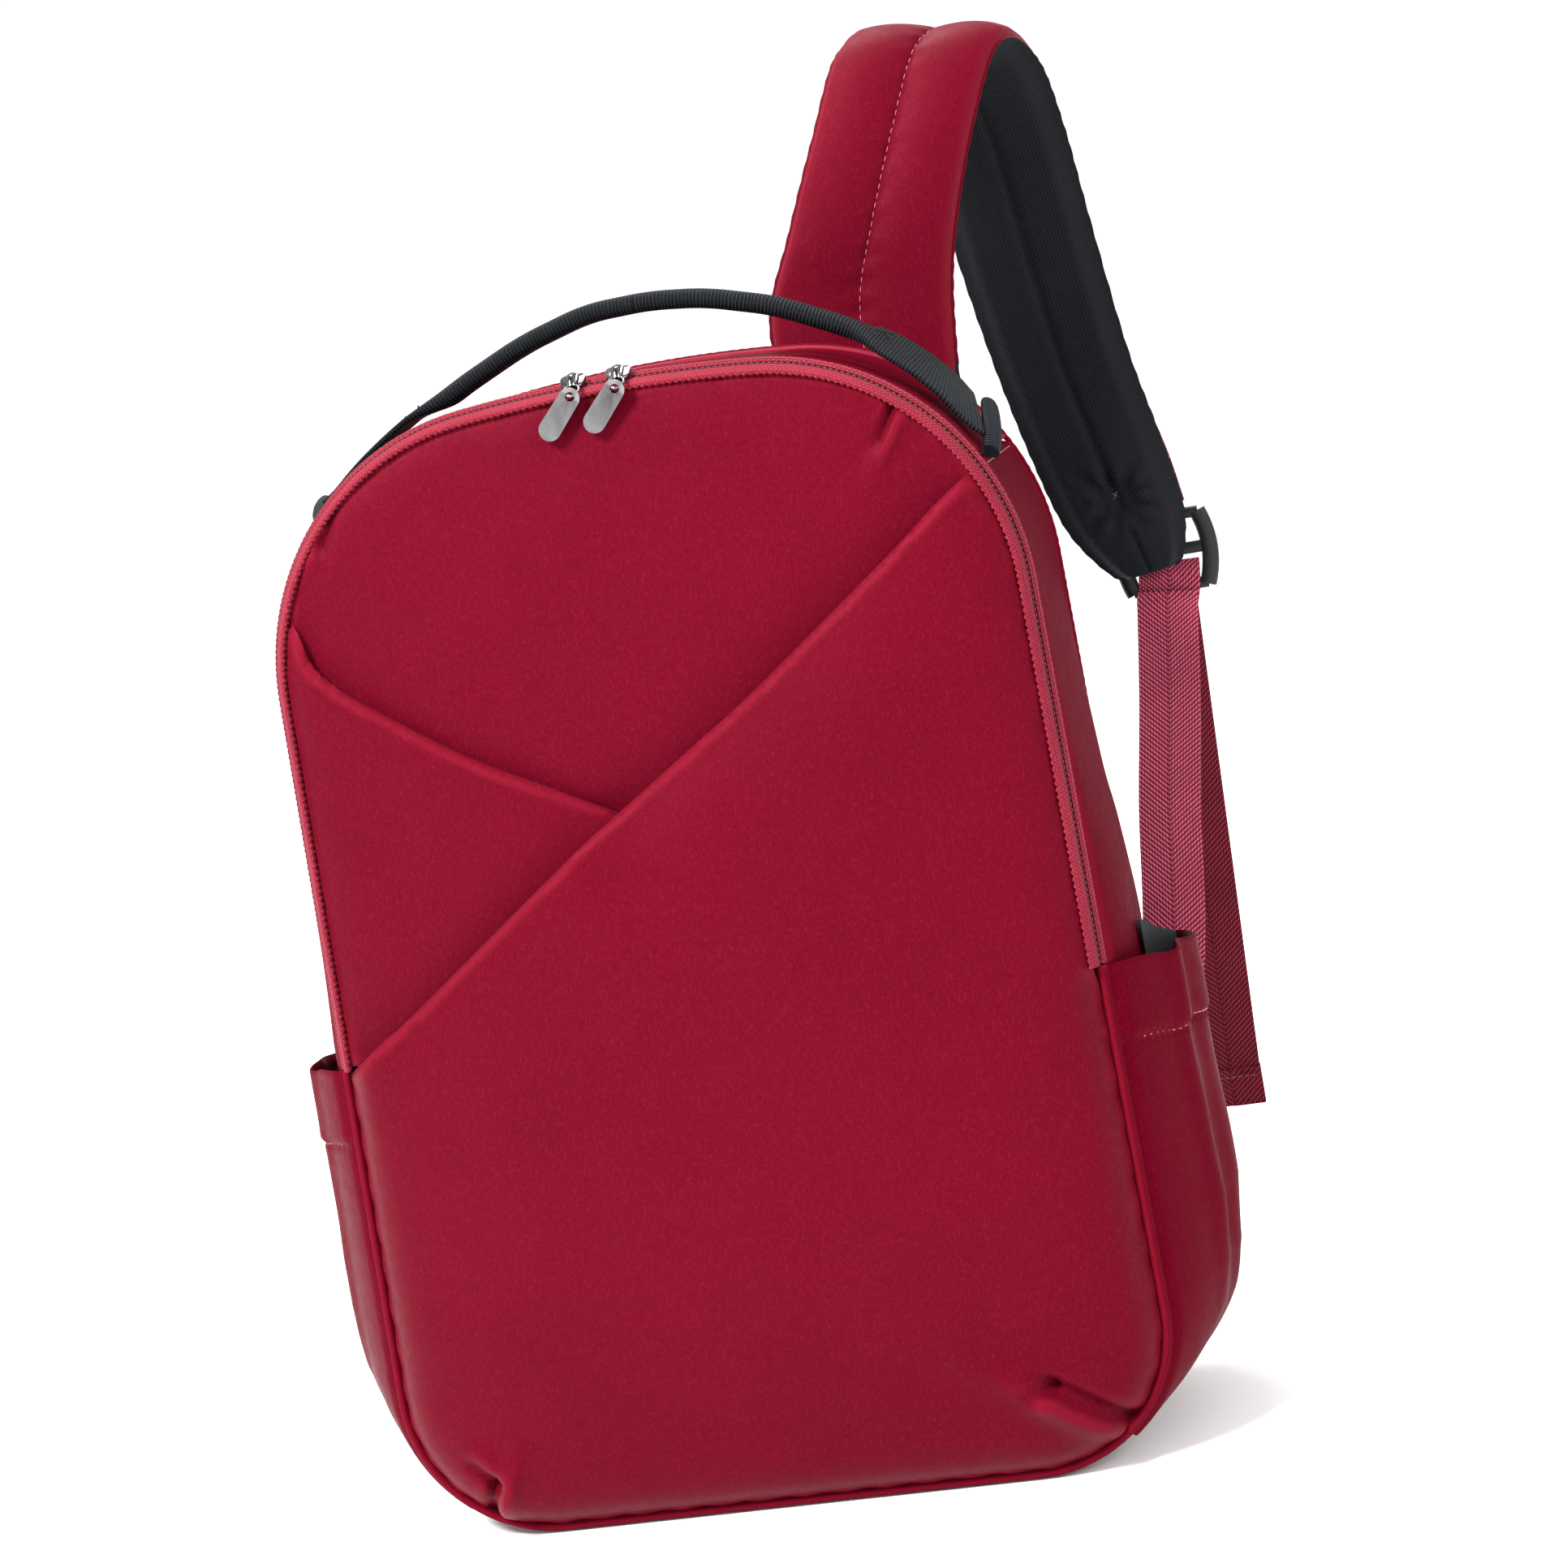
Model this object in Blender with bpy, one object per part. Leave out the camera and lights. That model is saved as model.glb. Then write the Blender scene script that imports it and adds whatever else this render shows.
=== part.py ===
"""Travel backpack with a zipped front flap, slash pockets, side pockets, a handle and two padded straps.

Metres, +Z up, +X to the right seen from the front, -Y towards the front. The origin is the middle of
the flat base.
"""

import math

import bmesh
import bpy
from mathutils import Matrix, Vector

# Bag shell
HEIGHT = 0.440
HALF_WIDTH = 0.1541
TAPER = 0.0177
CROWN_RADIUS = 0.570
SHOULDER_RADIUS = 0.0997
SHOULDER_X = 0.0484
SHOULDER_Z = 0.3378
FOOT_RADIUS = 0.0585
FRONT_Y = -0.0633
BACK_Y = 0.0633
LEAN = 0.016
WALL = 0.0020
GAP = 0.0003

# Front rim and zips
RIM_IN = 0.0060
RIM_DEEP = 0.0085
HINGE_Z = 0.1935
JOIN_Z = 0.3870
REAR_ZIP_WIDTH = 0.0100
BINDING = 0.0027

# Front panels, from the deepest layer out
UPPER_BACK = 0.0036
UPPER_CROWN = 0.0065
LEFT_BACK = 0.0018
LEFT_CROWN = 0.0100
RIGHT_CROWN = 0.0135
PANEL_THICK = 0.0014

# Handle
HANDLE_Y = 0.0
HANDLE_CROSS_LEFT = -0.0833
HANDLE_CROSS_RIGHT = 0.1033
HANDLE_FOOT_LEFT = -0.1180
HANDLE_FOOT_RIGHT = 0.1330

# Webbing, lock and sliders
WEB_WIDTH = 0.026
WEB_THICK = 0.0020
LOCK_WIDTH = 0.036
LOCK_HEIGHT = 0.036
LOCK_THICK = 0.0045
TAB_LENGTH = 0.0235
TAB_WIDTH = 0.0090
TAB_LEAN = 42.0
REAR_SLIDER_ANGLE = 35.0

CRIMSON = (0.32, 0.018, 0.055)
ROSE = (0.50, 0.075, 0.11)
BLACK = (0.012, 0.012, 0.018)
CHARCOAL = (0.03, 0.03, 0.036)
STEEL = (0.62, 0.62, 0.64)


def clear_scene():
    for item in list(bpy.data.objects):
        bpy.data.objects.remove(item, do_unlink=True)


def material(name, colour, rough, metal=0.0):
    made = bpy.data.materials.new(name)
    made.use_nodes = True
    shader = made.node_tree.nodes["Principled BSDF"]
    shader.inputs["Base Color"].default_value = (*colour, 1.0)
    shader.inputs["Roughness"].default_value = rough
    shader.inputs["Metallic"].default_value = metal
    made.diffuse_color = (*colour, 1.0)
    return made


def finish(name, mesh_data, colour, rough=0.7, metal=0.0, smooth=True):
    """Turn a bmesh into a named object with outward faces and its own material."""
    bmesh.ops.remove_doubles(mesh_data, verts=mesh_data.verts, dist=0.00002)
    bmesh.ops.recalc_face_normals(mesh_data, faces=mesh_data.faces)
    mesh = bpy.data.meshes.new(name)
    mesh_data.to_mesh(mesh)
    mesh_data.free()
    item = bpy.data.objects.new(name, mesh)
    bpy.context.scene.collection.objects.link(item)
    mesh.materials.append(material(name, colour, rough, metal))
    for face in mesh.polygons:
        face.use_smooth = smooth
    mesh.set_sharp_from_angle(angle=math.radians(35))
    return item


# The bag's outline, by distance along it from the middle of the base; left is the mirror of right


def arc_points(centre, radius, start, end, count):
    found = []
    for step in range(count + 1):
        angle = start + (end - start) * step / count
        normal = (math.cos(angle), math.sin(angle))
        found.append((centre[0] + radius * normal[0], centre[1] + radius * normal[1], *normal))
    return found


def half_outline():
    """Right half as (x, z, normal x, normal z), from the middle of the base to the top of the crown."""
    size = math.hypot(1.0, TAPER)
    nx, nz = 1.0 / size, TAPER / size
    reach = nx * HALF_WIDTH
    foot = ((reach - FOOT_RADIUS - nz * FOOT_RADIUS) / nx, FOOT_RADIUS)
    crown_z = HEIGHT - CROWN_RADIUS
    along = reach - SHOULDER_RADIUS
    base = (nx * along, nz * along - crown_z)
    half = -nz * base[0] + nx * base[1]
    rest = base[0] ** 2 + base[1] ** 2 - (CROWN_RADIUS - SHOULDER_RADIUS) ** 2
    step = -half + math.sqrt(half * half - rest)
    shoulder = (nx * along - nz * step, nz * along + nx * step)
    side = math.atan2(nz, nx)
    lift = math.atan2(shoulder[1] - crown_z, shoulder[0])
    points = [(foot[0] * k / 4, 0.0, 0.0, -1.0) for k in range(4)]
    points += arc_points(foot, FOOT_RADIUS, -math.pi / 2, side, 8)
    low = points[-1]
    high = (shoulder[0] + SHOULDER_RADIUS * nx, shoulder[1] + SHOULDER_RADIUS * nz)
    for k in range(1, 8):
        points.append((low[0] + (high[0] - low[0]) * k / 8, low[1] + (high[1] - low[1]) * k / 8, nx, nz))
    points += arc_points(shoulder, SHOULDER_RADIUS, side, lift, 10)
    points += arc_points((0.0, crown_z), CROWN_RADIUS, lift, math.pi / 2, 5)[1:]
    return points


OUTLINE = half_outline()
DISTANCE = [0.0]
for first, second in zip(OUTLINE, OUTLINE[1:]):
    DISTANCE.append(DISTANCE[-1] + math.hypot(second[0] - first[0], second[1] - first[1]))
HALF_LENGTH = DISTANCE[-1]


def edge(distance, out=0.0):
    """Point (x, z) on the outline, moved outward; a distance below zero or past the crown is on the left."""
    length = distance % (2 * HALF_LENGTH)
    sign = 1.0 if length <= HALF_LENGTH else -1.0
    length = min(length, 2 * HALF_LENGTH - length)
    k = 0
    while k < len(DISTANCE) - 2 and DISTANCE[k + 1] < length:
        k += 1
    part = (length - DISTANCE[k]) / (DISTANCE[k + 1] - DISTANCE[k])
    mixed = [a + (b - a) * part for a, b in zip(OUTLINE[k], OUTLINE[k + 1])]
    size = math.hypot(mixed[2], mixed[3])
    return sign * (mixed[0] + mixed[2] / size * out), mixed[1] + mixed[3] / size * out


def distance_at(height):
    """Distance along the right half at which the outline reaches a height on the side."""
    for k in range(4, len(OUTLINE) - 1):
        if OUTLINE[k + 1][1] >= height:
            low, high = OUTLINE[k][1], OUTLINE[k + 1][1]
            return DISTANCE[k] + (DISTANCE[k + 1] - DISTANCE[k]) * (height - low) / (high - low)
    return HALF_LENGTH


def front_y(z):
    return FRONT_Y + LEAN * z / HEIGHT


def bulge(z, part):
    """How far the soft side wall stands out between the front rim and the back."""
    low = 0.011
    high = -0.0015
    share = min(max((z - 0.20) / 0.17, 0.0), 1.0)
    foot = min(max((z - 0.004) / 0.06, 0.0), 1.0)
    return (low + (high - low) * share) * foot * math.sin(math.pi * part ** 0.8)


# Solid builders


def grid_solid(name, outer, inner, colour, rough=0.7, closed=False, metal=0.0):
    """Closed body between two point grids of one shape; closed joins the last column to the first."""
    made = bmesh.new()
    rows, columns = len(outer), len(outer[0])
    faces = []
    for grid in (outer, inner):
        verts = [[made.verts.new(point) for point in row] for row in grid]
        faces.append(verts)
    wrap = columns if closed else columns - 1
    for side, verts in enumerate(faces):
        for r in range(rows - 1):
            for c in range(wrap):
                d = (c + 1) % columns
                quad = [verts[r][c], verts[r][d], verts[r + 1][d], verts[r + 1][c]]
                made.faces.new(quad if side else quad[::-1])
    top, under = faces
    for r in (0, rows - 1):
        for c in range(wrap):
            d = (c + 1) % columns
            made.faces.new([top[r][c], top[r][d], under[r][d], under[r][c]])
    if not closed:
        for c in (0, columns - 1):
            for r in range(rows - 1):
                made.faces.new([top[r][c], top[r + 1][c], under[r + 1][c], under[r][c]])
    return finish(name, made, colour, rough, metal)


def wall_strip(name, start, end, profile, thick, colour, columns=24, rough=0.7, closed=False):
    """Strip of the bag's wall between two outline distances; profile lists (y from z, outward) rows."""
    outer, inner = [], []
    for y_of, out_of in profile:
        outer_row, inner_row = [], []
        count = columns if closed else columns + 1
        for k in range(count):
            place = start + (end - start) * k / columns
            z = edge(place)[1]
            for row, depth in ((outer_row, 0.0), (inner_row, thick)):
                x, height = edge(place, out_of(z) - depth)
                row.append((x, y_of(z), height))
        outer.append(outer_row)
        inner.append(inner_row)
    return grid_solid(name, outer, inner, colour, rough, closed)


def side_profile(front_off, back_y, rows=7):
    """Rows from behind the front rim to the back, standing out as a soft wall does."""
    found = []
    for k in range(rows):
        part = k / (rows - 1)
        y_of = lambda z, p=part: (front_y(z) + front_off) * (1 - p) + back_y * p
        out_of = lambda z, p=part: bulge(z, (y_of_part(z, p, front_off, back_y)))
        found.append((y_of, out_of))
    return found


def y_of_part(z, part, front_off, back_y):
    """Share of the way from the rim to the back of the bag."""
    y = (front_y(z) + front_off) * (1 - part) + back_y * part
    start = front_y(z) + RIM_DEEP
    return min(max((y - start) / (BACK_Y - start), 0.0), 1.0)


def plate(name, loop, y_pair, colour, rough=0.7, rings=(1.0, 0.94, 0.84, 0.66, 0.42, 0.18)):
    """Crowned plate over a closed loop of (x, z); y_pair gives its faces from (x, z, share of radius)."""
    made = bmesh.new()
    centre = (sum(p[0] for p in loop) / len(loop), sum(p[1] for p in loop) / len(loop))
    sheets = []
    for side in (0, 1):
        rows = []
        for share in rings:
            row = []
            for x, z in loop:
                px, pz = centre[0] + (x - centre[0]) * share, centre[1] + (z - centre[1]) * share
                row.append(made.verts.new((px, y_pair(px, pz, share)[side], pz)))
            rows.append(row)
        middle = made.verts.new((centre[0], y_pair(*centre, 0.0)[side], centre[1]))
        for outer, inner in zip(rows, rows[1:]):
            for k in range(len(loop)):
                m = (k + 1) % len(loop)
                made.faces.new([outer[k], outer[m], inner[m], inner[k]])
        for k in range(len(loop)):
            made.faces.new([rows[-1][k], rows[-1][(k + 1) % len(loop)], middle])
        sheets.append(rows[0])
    for k in range(len(loop)):
        m = (k + 1) % len(loop)
        made.faces.new([sheets[0][k], sheets[0][m], sheets[1][m], sheets[1][k]])
    return finish(name, made, colour, rough)


def outline_loop(out, count=72):
    return [edge(-HALF_LENGTH + 2 * HALF_LENGTH * (k + 0.5) / count, out) for k in range(count)]


def cut(item, polygon):
    """Keep what lies inside a polygon of (x, z), through the whole depth."""
    made = bmesh.new()
    near = [made.verts.new((x, -0.3, z)) for x, z in polygon]
    far = [made.verts.new((x, 0.3, z)) for x, z in polygon]
    made.faces.new(near)
    made.faces.new(far[::-1])
    for k in range(len(polygon)):
        m = (k + 1) % len(polygon)
        made.faces.new([near[k], far[k], far[m], near[m]])
    tool = finish(item.name + "_guide", made, BLACK)
    tool.hide_render = True
    tool.display_type = "WIRE"
    keep = item.modifiers.new("outline", "BOOLEAN")
    keep.operation = "INTERSECT"
    keep.solver = "EXACT"
    keep.object = tool
    return item


def spline(points, part):
    """Smooth curve through evenly spaced points, at a share of its length."""
    spans = len(points) - 1
    place = min(max(part, 0.0), 1.0) * spans
    k = min(int(place), spans - 1)
    t = place - k
    before = points[k - 1] if k else points[0] * 2 - points[1]
    after = points[k + 2] if k + 2 <= spans else points[spans] * 2 - points[spans - 1]
    a, b = points[k], points[k + 1]
    bend = (before * 2 - a * 5 + b * 4 - after) * t * t + (a * 3 - before - b * 3 + after) * t * t * t
    return (a * 2 + (b - before) * t + bend) * 0.5


def ribbon(name, lefts, rights, depth, colour, rough=0.7, columns=8, steps=24, side=1.0, span=(0.0, 1.0)):
    """Band between two edge curves; depth gives (near, far) below its face from shares along and across."""
    left = [Vector(p) for p in lefts]
    right = [Vector(p) for p in rights]
    outer, inner = [], []
    for r in range(steps + 1):
        along = span[0] + (span[1] - span[0]) * r / steps
        a, b = spline(left, along), spline(right, along)
        ahead = spline(left, along + 0.01) + spline(right, along + 0.01)
        behind = spline(left, along - 0.01) + spline(right, along - 0.01)
        normal = (b - a).cross(ahead - behind).normalized() * side
        near_row, far_row = [], []
        for c in range(columns + 1):
            across = c / columns
            near, far = depth(along, across)
            point = a.lerp(b, across)
            near_row.append(point - normal * near)
            far_row.append(point - normal * far)
        outer.append(near_row)
        inner.append(far_row)
    return grid_solid(name, outer, inner, colour, rough)


def webbing(name, centres, width, thick, colour, rough=0.7, wide=(1.0, 0.0, 0.0), steps=16):
    """Flat webbing along a centre line."""
    middle = [Vector(p) for p in centres]
    half = Vector(wide).normalized() * width / 2
    lefts = [p - half for p in middle]
    rights = [p + half for p in middle]
    return ribbon(name, lefts, rights, lambda u, v: (-thick / 2, thick / 2), colour, rough, 2, steps)


def block(name, centre, size, colour, rough=0.5, metal=0.0, turn=None, corner=0.0, sides=3):
    """Rounded block; its outline in the local XZ plane has rounded corners."""
    made = bmesh.new()
    bmesh.ops.create_cube(made, size=1.0)
    bmesh.ops.scale(made, vec=size, verts=made.verts)
    if corner:
        upright = [e for e in made.edges if abs(e.verts[0].co.y - e.verts[1].co.y) > size[1] * 0.5]
        bmesh.ops.bevel(made, geom=upright, offset=corner, segments=sides, profile=0.5, affect="EDGES")
    if turn:
        bmesh.ops.transform(made, matrix=turn, verts=made.verts)
    bmesh.ops.translate(made, vec=centre, verts=made.verts)
    return finish(name, made, colour, rough, metal)


def subtract(item, tool):
    """Cut a guide out of a piece."""
    tool.hide_render = True
    tool.display_type = "WIRE"
    gone = item.modifiers.new("opening " + tool.name, "BOOLEAN")
    gone.operation = "DIFFERENCE"
    gone.solver = "EXACT"
    gone.object = tool


# Shell of the bag


def make_shell():
    foot = OUTLINE[4][0]
    join = distance_at(JOIN_Z)
    hinge = distance_at(HINGE_Z)
    start = RIM_DEEP + GAP
    rear = BACK_Y - BINDING - GAP
    step = GAP / 2
    flat = [
        (lambda z: front_y(z) + start, lambda z: 0.0),
        (lambda z: rear, lambda z: 0.0),
    ]
    wall_strip("base_panel", -foot + step, foot - step, flat, 0.003, CRIMSON, 8)
    for name, sign in (("left", -1), ("right", 1)):
        strip = side_profile(start, rear)
        low, high = sign * (foot + step), sign * (join - step)
        wall_strip("side_gusset_" + name, low, high, strip, WALL, CRIMSON, 26)
    over = join + step, 2 * HALF_LENGTH - join - step
    top = side_profile(start, rear - REAR_ZIP_WIDTH - GAP, 5)
    wall_strip("top_gusset", *over, top, WALL, CRIMSON, 26)
    rear_zip = []
    for y in (rear - REAR_ZIP_WIDTH, rear - REAR_ZIP_WIDTH / 2, rear):
        rear_zip.append((lambda z, y=y: y, lambda z, y=y: bulge(z, y_of_part(z, 1, 0, y))))
    wall_strip("rear_zip_tape", *over, rear_zip, WALL, ROSE, 26)
    edge_rows = [(lambda z: BACK_Y - BINDING, lambda z: 0.0006), (lambda z: BACK_Y, lambda z: -0.0002)]
    wall_strip("back_binding", 0.0, 2 * HALF_LENGTH, edge_rows, 0.0030, CRIMSON, 72, closed=True)
    piping = [
        (lambda z: front_y(z), lambda z: -RIM_IN + 0.0017),
        (lambda z: front_y(z) + 0.0035, lambda z: -0.0010),
        (lambda z: front_y(z) + RIM_DEEP, lambda z: 0.0),
    ]
    wall_strip("front_piping", -hinge + step, hinge - step, piping, 0.0016, CRIMSON, 48)
    body_tape = [
        (lambda z: front_y(z) + 0.0062, lambda z: -0.0016),
        (lambda z: front_y(z) + RIM_DEEP, lambda z: 0.0),
    ]
    round_front = hinge + step, 2 * HALF_LENGTH - hinge - step
    wall_strip("main_zip_tape_body", *round_front, body_tape, 0.0014, ROSE, 44)
    flap_tape = [
        (lambda z: front_y(z), lambda z: -RIM_IN + 0.0017),
        (lambda z: front_y(z) + 0.0057, lambda z: -0.0020),
    ]
    wall_strip("main_zip_tape_flap", *round_front, flap_tape, 0.0014, ROSE, 44)


def make_back():
    loop = outline_loop(-0.0042)
    plate("back_panel", loop, lambda x, z, r: (BACK_Y - 0.0002, BACK_Y - 0.0028), BLACK, 0.85, (1.0, 0.5))
    pad = [(x * 0.70, 0.062 + z * 0.625) for x, z in outline_loop(-0.0033)]
    puff = lambda x, z, r: (BACK_Y + 0.0018 + 0.0062 * (1 - r ** 4), BACK_Y + 0.0002)
    plate("back_pad", pad, puff, BLACK, 0.9, (1.0, 0.9, 0.72, 0.4))
    inside = outline_loop(-0.0060)
    plate("laptop_divider", inside, lambda x, z, r: (0.0340, 0.0370), BLACK, 0.8, (1.0, 0.5))


LEFT_EDGE = [
    (-0.1600, 0.4010), (-0.1356, 0.3695), (-0.1297, 0.3523), (-0.1186, 0.3399), (-0.0986, 0.3250),
    (-0.0713, 0.3066), (-0.0429, 0.2912), (-0.0214, 0.2787),
]
RIGHT_EDGE = [
    (0.1700, 0.4070), (0.1300, 0.3816), (0.1145, 0.3710), (0.0992, 0.3591), (0.0403, 0.3169),
    (0.0134, 0.2997), (-0.0181, 0.2797), (-0.0415, 0.2645), (-0.1122, 0.2146), (-0.1281, 0.2045),
    (-0.1560, 0.1850),
]


def make_front():
    loop = outline_loop(-RIM_IN - GAP, 96)
    low = HINGE_Z + GAP / 2
    layer = lambda back, crown: lambda x, z, r: (
        front_y(z) + back - crown * (1 - r ** 3),
        front_y(z) + back - crown * (1 - r ** 3) + PANEL_THICK,
    )
    upper = plate("front_panel_upper", loop, layer(UPPER_BACK, UPPER_CROWN), CRIMSON, 0.5)
    cut(upper, [(-0.3, low), (0.3, low), (0.3, 0.6), (-0.3, 0.6)])
    left = plate("slash_panel_left", loop, layer(LEFT_BACK, LEFT_CROWN), CRIMSON, 0.5)
    tail = [(-0.005, 0.262), (-0.005, low), (-0.3, low), (-0.3, 0.401)]
    cut(left, LEFT_EDGE + [(-0.005, 0.2690)] + tail)
    right = plate("slash_panel_right", loop, layer(0.0, RIGHT_CROWN), CRIMSON, 0.5)
    kept = [p for p in RIGHT_EDGE if p[1] > low + 0.001]
    cut(right, kept + [(-0.1438, low), (0.3, low), (0.3, 0.407)])
    lower = plate("front_panel_lower", loop, layer(0.0, RIGHT_CROWN), CRIMSON, 0.5)
    cut(lower, [(-0.3, -0.1), (0.3, -0.1), (0.3, HINGE_Z - GAP / 2), (-0.3, HINGE_Z - GAP / 2)])


# Side pockets

POCKET_DEPTHS = [(0.012, 0.001), (0.03, 0.007), (0.05, 0.013), (0.09, 0.018), (0.15, 0.017), (0.20, 0.016)]


def pocket_out(z, part):
    """How far a side pocket stands off the wall, from its height and the share from its front seam."""
    depth = POCKET_DEPTHS[-1][1]
    for (z0, d0), (z1, d1) in zip(POCKET_DEPTHS, POCKET_DEPTHS[1:]):
        if z <= z1:
            depth = d0 + (d1 - d0) * min(max((z - z0) / (z1 - z0), 0.0), 1.0)
            break
    rise = min(part / 0.80, 1.0)
    fall = min((1.0 - part) / 0.20, 1.0)
    shape = (1 - (1 - rise) ** 1.7) * (1 - (1 - fall) ** 2.0)
    return depth * max(shape, 0.0)


def pocket_top(part):
    return 0.192 - 0.011 * part


def make_pocket(name, sign):
    front, back = 0.0125, BACK_Y - 0.006
    for piece, low_of, high_of, thick, rows in (
        ("side_pocket_", lambda p: 0.0125, lambda p: pocket_top(p) - 0.0303, 0.0012, 10),
        ("pocket_hem_", lambda p: pocket_top(p) - 0.0300, pocket_top, 0.0020, 4),
    ):
        outer, inner = [], []
        columns = 16
        for r in range(rows + 1):
            outer_row, inner_row = [], []
            for c in range(columns + 1):
                part = c / columns
                z = low_of(part) + (high_of(part) - low_of(part)) * r / rows
                place = distance_at(z)
                y = (front_y(z) + front) * (1 - part) + back * part
                wall = bulge(z, y_of_part(z, 1, 0, y))
                off = wall + pocket_out(z, part) + 0.0010
                for row, extra in ((outer_row, thick), (inner_row, 0.0)):
                    x, height = edge(place, off + extra)
                    row.append((sign * x, y, height))
            outer.append(outer_row)
            inner.append(inner_row)
        grid_solid(piece + name, outer, inner, CRIMSON, 0.5)


# Carry handle

HANDLE_LINE = [
    (-0.1250, 0.4097), (-0.1143, 0.4196), (-0.0990, 0.4304), (-0.0822, 0.4400), (-0.0669, 0.4484),
    (-0.0380, 0.4608), (-0.0103, 0.4683), (0.0157, 0.4688), (0.0379, 0.4661), (0.0652, 0.4580),
    (0.0943, 0.4434), (0.1111, 0.4311), (0.1230, 0.4195), (0.1315, 0.4080), (0.1375, 0.3965),
]


def handle_top(x):
    """Height of the handle's upper face, slightly smoothed along its length."""
    total = 0.0
    for k in range(-3, 4):
        place = x + 0.002 * k
        for (x0, z0), (x1, z1) in zip(HANDLE_LINE, HANDLE_LINE[1:]):
            if place <= x1 or x1 == HANDLE_LINE[-1][0]:
                total += z0 + (z1 - z0) * (place - x0) / (x1 - x0)
                break
    return total / 7


def handle_piece(name, start, end, width, thick, steps):
    """Length of the handle: flat webbing when thin, folded and rounded when thick."""
    outer, inner = [], []
    for k in range(steps + 1):
        x = start + (end - start) * k / steps
        slope = Vector((0.004, 0.0, handle_top(x + 0.002) - handle_top(x - 0.002))).normalized()
        normal = Vector((-slope.z, 0.0, slope.x))
        outer_row, inner_row = [], []
        for c in range(7):
            across = -1 + c / 3
            round_off = math.sqrt(max(1 - (across * 0.92) ** 2, 0.04)) if thick > 0.004 else 1.0
            middle = Vector((x, HANDLE_Y + width / 2 * across, handle_top(x))) - normal * thick / 2
            outer_row.append(middle + normal * thick / 2 * round_off)
            inner_row.append(middle - normal * thick / 2 * round_off)
        outer.append(outer_row)
        inner.append(inner_row)
    grid_solid(name, outer, inner, CHARCOAL, 0.8)


def make_handle():
    step = GAP / 2
    play = 0.0014
    handle_piece("handle_grip", HANDLE_CROSS_LEFT + play, HANDLE_CROSS_RIGHT - play, 0.0135, 0.0052, 32)
    handle_piece("handle_end_left", HANDLE_FOOT_LEFT, HANDLE_CROSS_LEFT - step, 0.0250, 0.0022, 8)
    handle_piece("handle_end_right", HANDLE_CROSS_RIGHT + step, HANDLE_FOOT_RIGHT, 0.0250, 0.0022, 8)
    for name, place, tilt in (("left", (-0.1277, 0.4067), -49.0), ("right", (0.1385, 0.3917), 59.5)):
        turn = Matrix.Rotation(math.radians(tilt), 4, "Y")
        centre = (place[0], HANDLE_Y, place[1])
        block("handle_anchor_" + name, centre, (0.0075, 0.0270, 0.0036), CHARCOAL, 0.8, turn=turn)


# Shoulder straps

RAISED_LEFT = [
    (0.0484, 0.0715, 0.4505), (0.0617, 0.0720, 0.4815), (0.0772, 0.0760, 0.5176), (0.0905, 0.0880, 0.5500),
    (0.1000, 0.1070, 0.5590), (0.1080, 0.1300, 0.5500), (0.1140, 0.1500, 0.5130), (0.1190, 0.1610, 0.4610),
    (0.1262, 0.1680, 0.4130), (0.1345, 0.1690, 0.3730), (0.1440, 0.1670, 0.3430), (0.1550, 0.1640, 0.3230),
]
RAISED_RIGHT = [
    (0.1222, 0.0715, 0.4505), (0.1290, 0.0725, 0.4787), (0.1425, 0.0780, 0.5170), (0.1535, 0.0900, 0.5425),
    (0.1612, 0.1070, 0.5480), (0.1680, 0.1290, 0.5360), (0.1715, 0.1470, 0.5080), (0.1745, 0.1590, 0.4680),
    (0.1808, 0.1670, 0.4110), (0.1880, 0.1690, 0.3730), (0.1925, 0.1680, 0.3460), (0.1905, 0.1650, 0.3210),
]
HUNG_CENTRE = [
    (-0.0785, 0.0765, 0.3935), (-0.0785, 0.0810, 0.4100), (-0.0790, 0.0985, 0.4180),
    (-0.0800, 0.1160, 0.4080), (-0.0820, 0.1215, 0.3850), (-0.0840, 0.1240, 0.3450),
    (-0.0870, 0.1250, 0.2950), (-0.0905, 0.1250, 0.2450), (-0.0940, 0.1230, 0.1950),
    (-0.0970, 0.1190, 0.1550),
]
ADJUSTER_RIGHT = [
    (0.1810, 0.1690, 0.2990), (0.1760, 0.1440, 0.2620), (0.1710, 0.1180, 0.2200),
    (0.1660, 0.0960, 0.1720), (0.1560, 0.0850, 0.1250), (0.1420, 0.0815, 0.0812),
]
ADJUSTER_LEFT = [
    (-0.0985, 0.1120, 0.0935), (-0.1080, 0.1000, 0.0895),
    (-0.1220, 0.0880, 0.0850), (-0.1330, 0.0815, 0.0830),
]
ANCHOR_TAB = [(0.1310, 0.0655, 0.0400), (0.1340, 0.0705, 0.0600), (0.1380, 0.0800, 0.0805)]
HUNG_WIDTH = [0.068, 0.068, 0.068, 0.067, 0.066, 0.063, 0.060, 0.057, 0.052, 0.036]


def pad_depth(along, across):
    lobes = 0.0022 * abs(math.sin(2 * math.pi * across)) ** 0.6
    rim = min(across, 1 - across, 0.12) / 0.12
    return 0.0022 - lobes * rim, 0.0080


def mesh_depth(along, across):
    rim = min(across, 1 - across, 0.16) / 0.16
    return 0.0083, 0.0098 + 0.0018 * math.sqrt(rim)


def make_strap(name, lefts, rights, side):
    ribbon("strap_pad_" + name, lefts, rights, pad_depth, CRIMSON, 0.5, 12, 36, side)
    ribbon("strap_lining_" + name, lefts, rights, mesh_depth, BLACK, 0.9, 8, 36, side)


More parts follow.
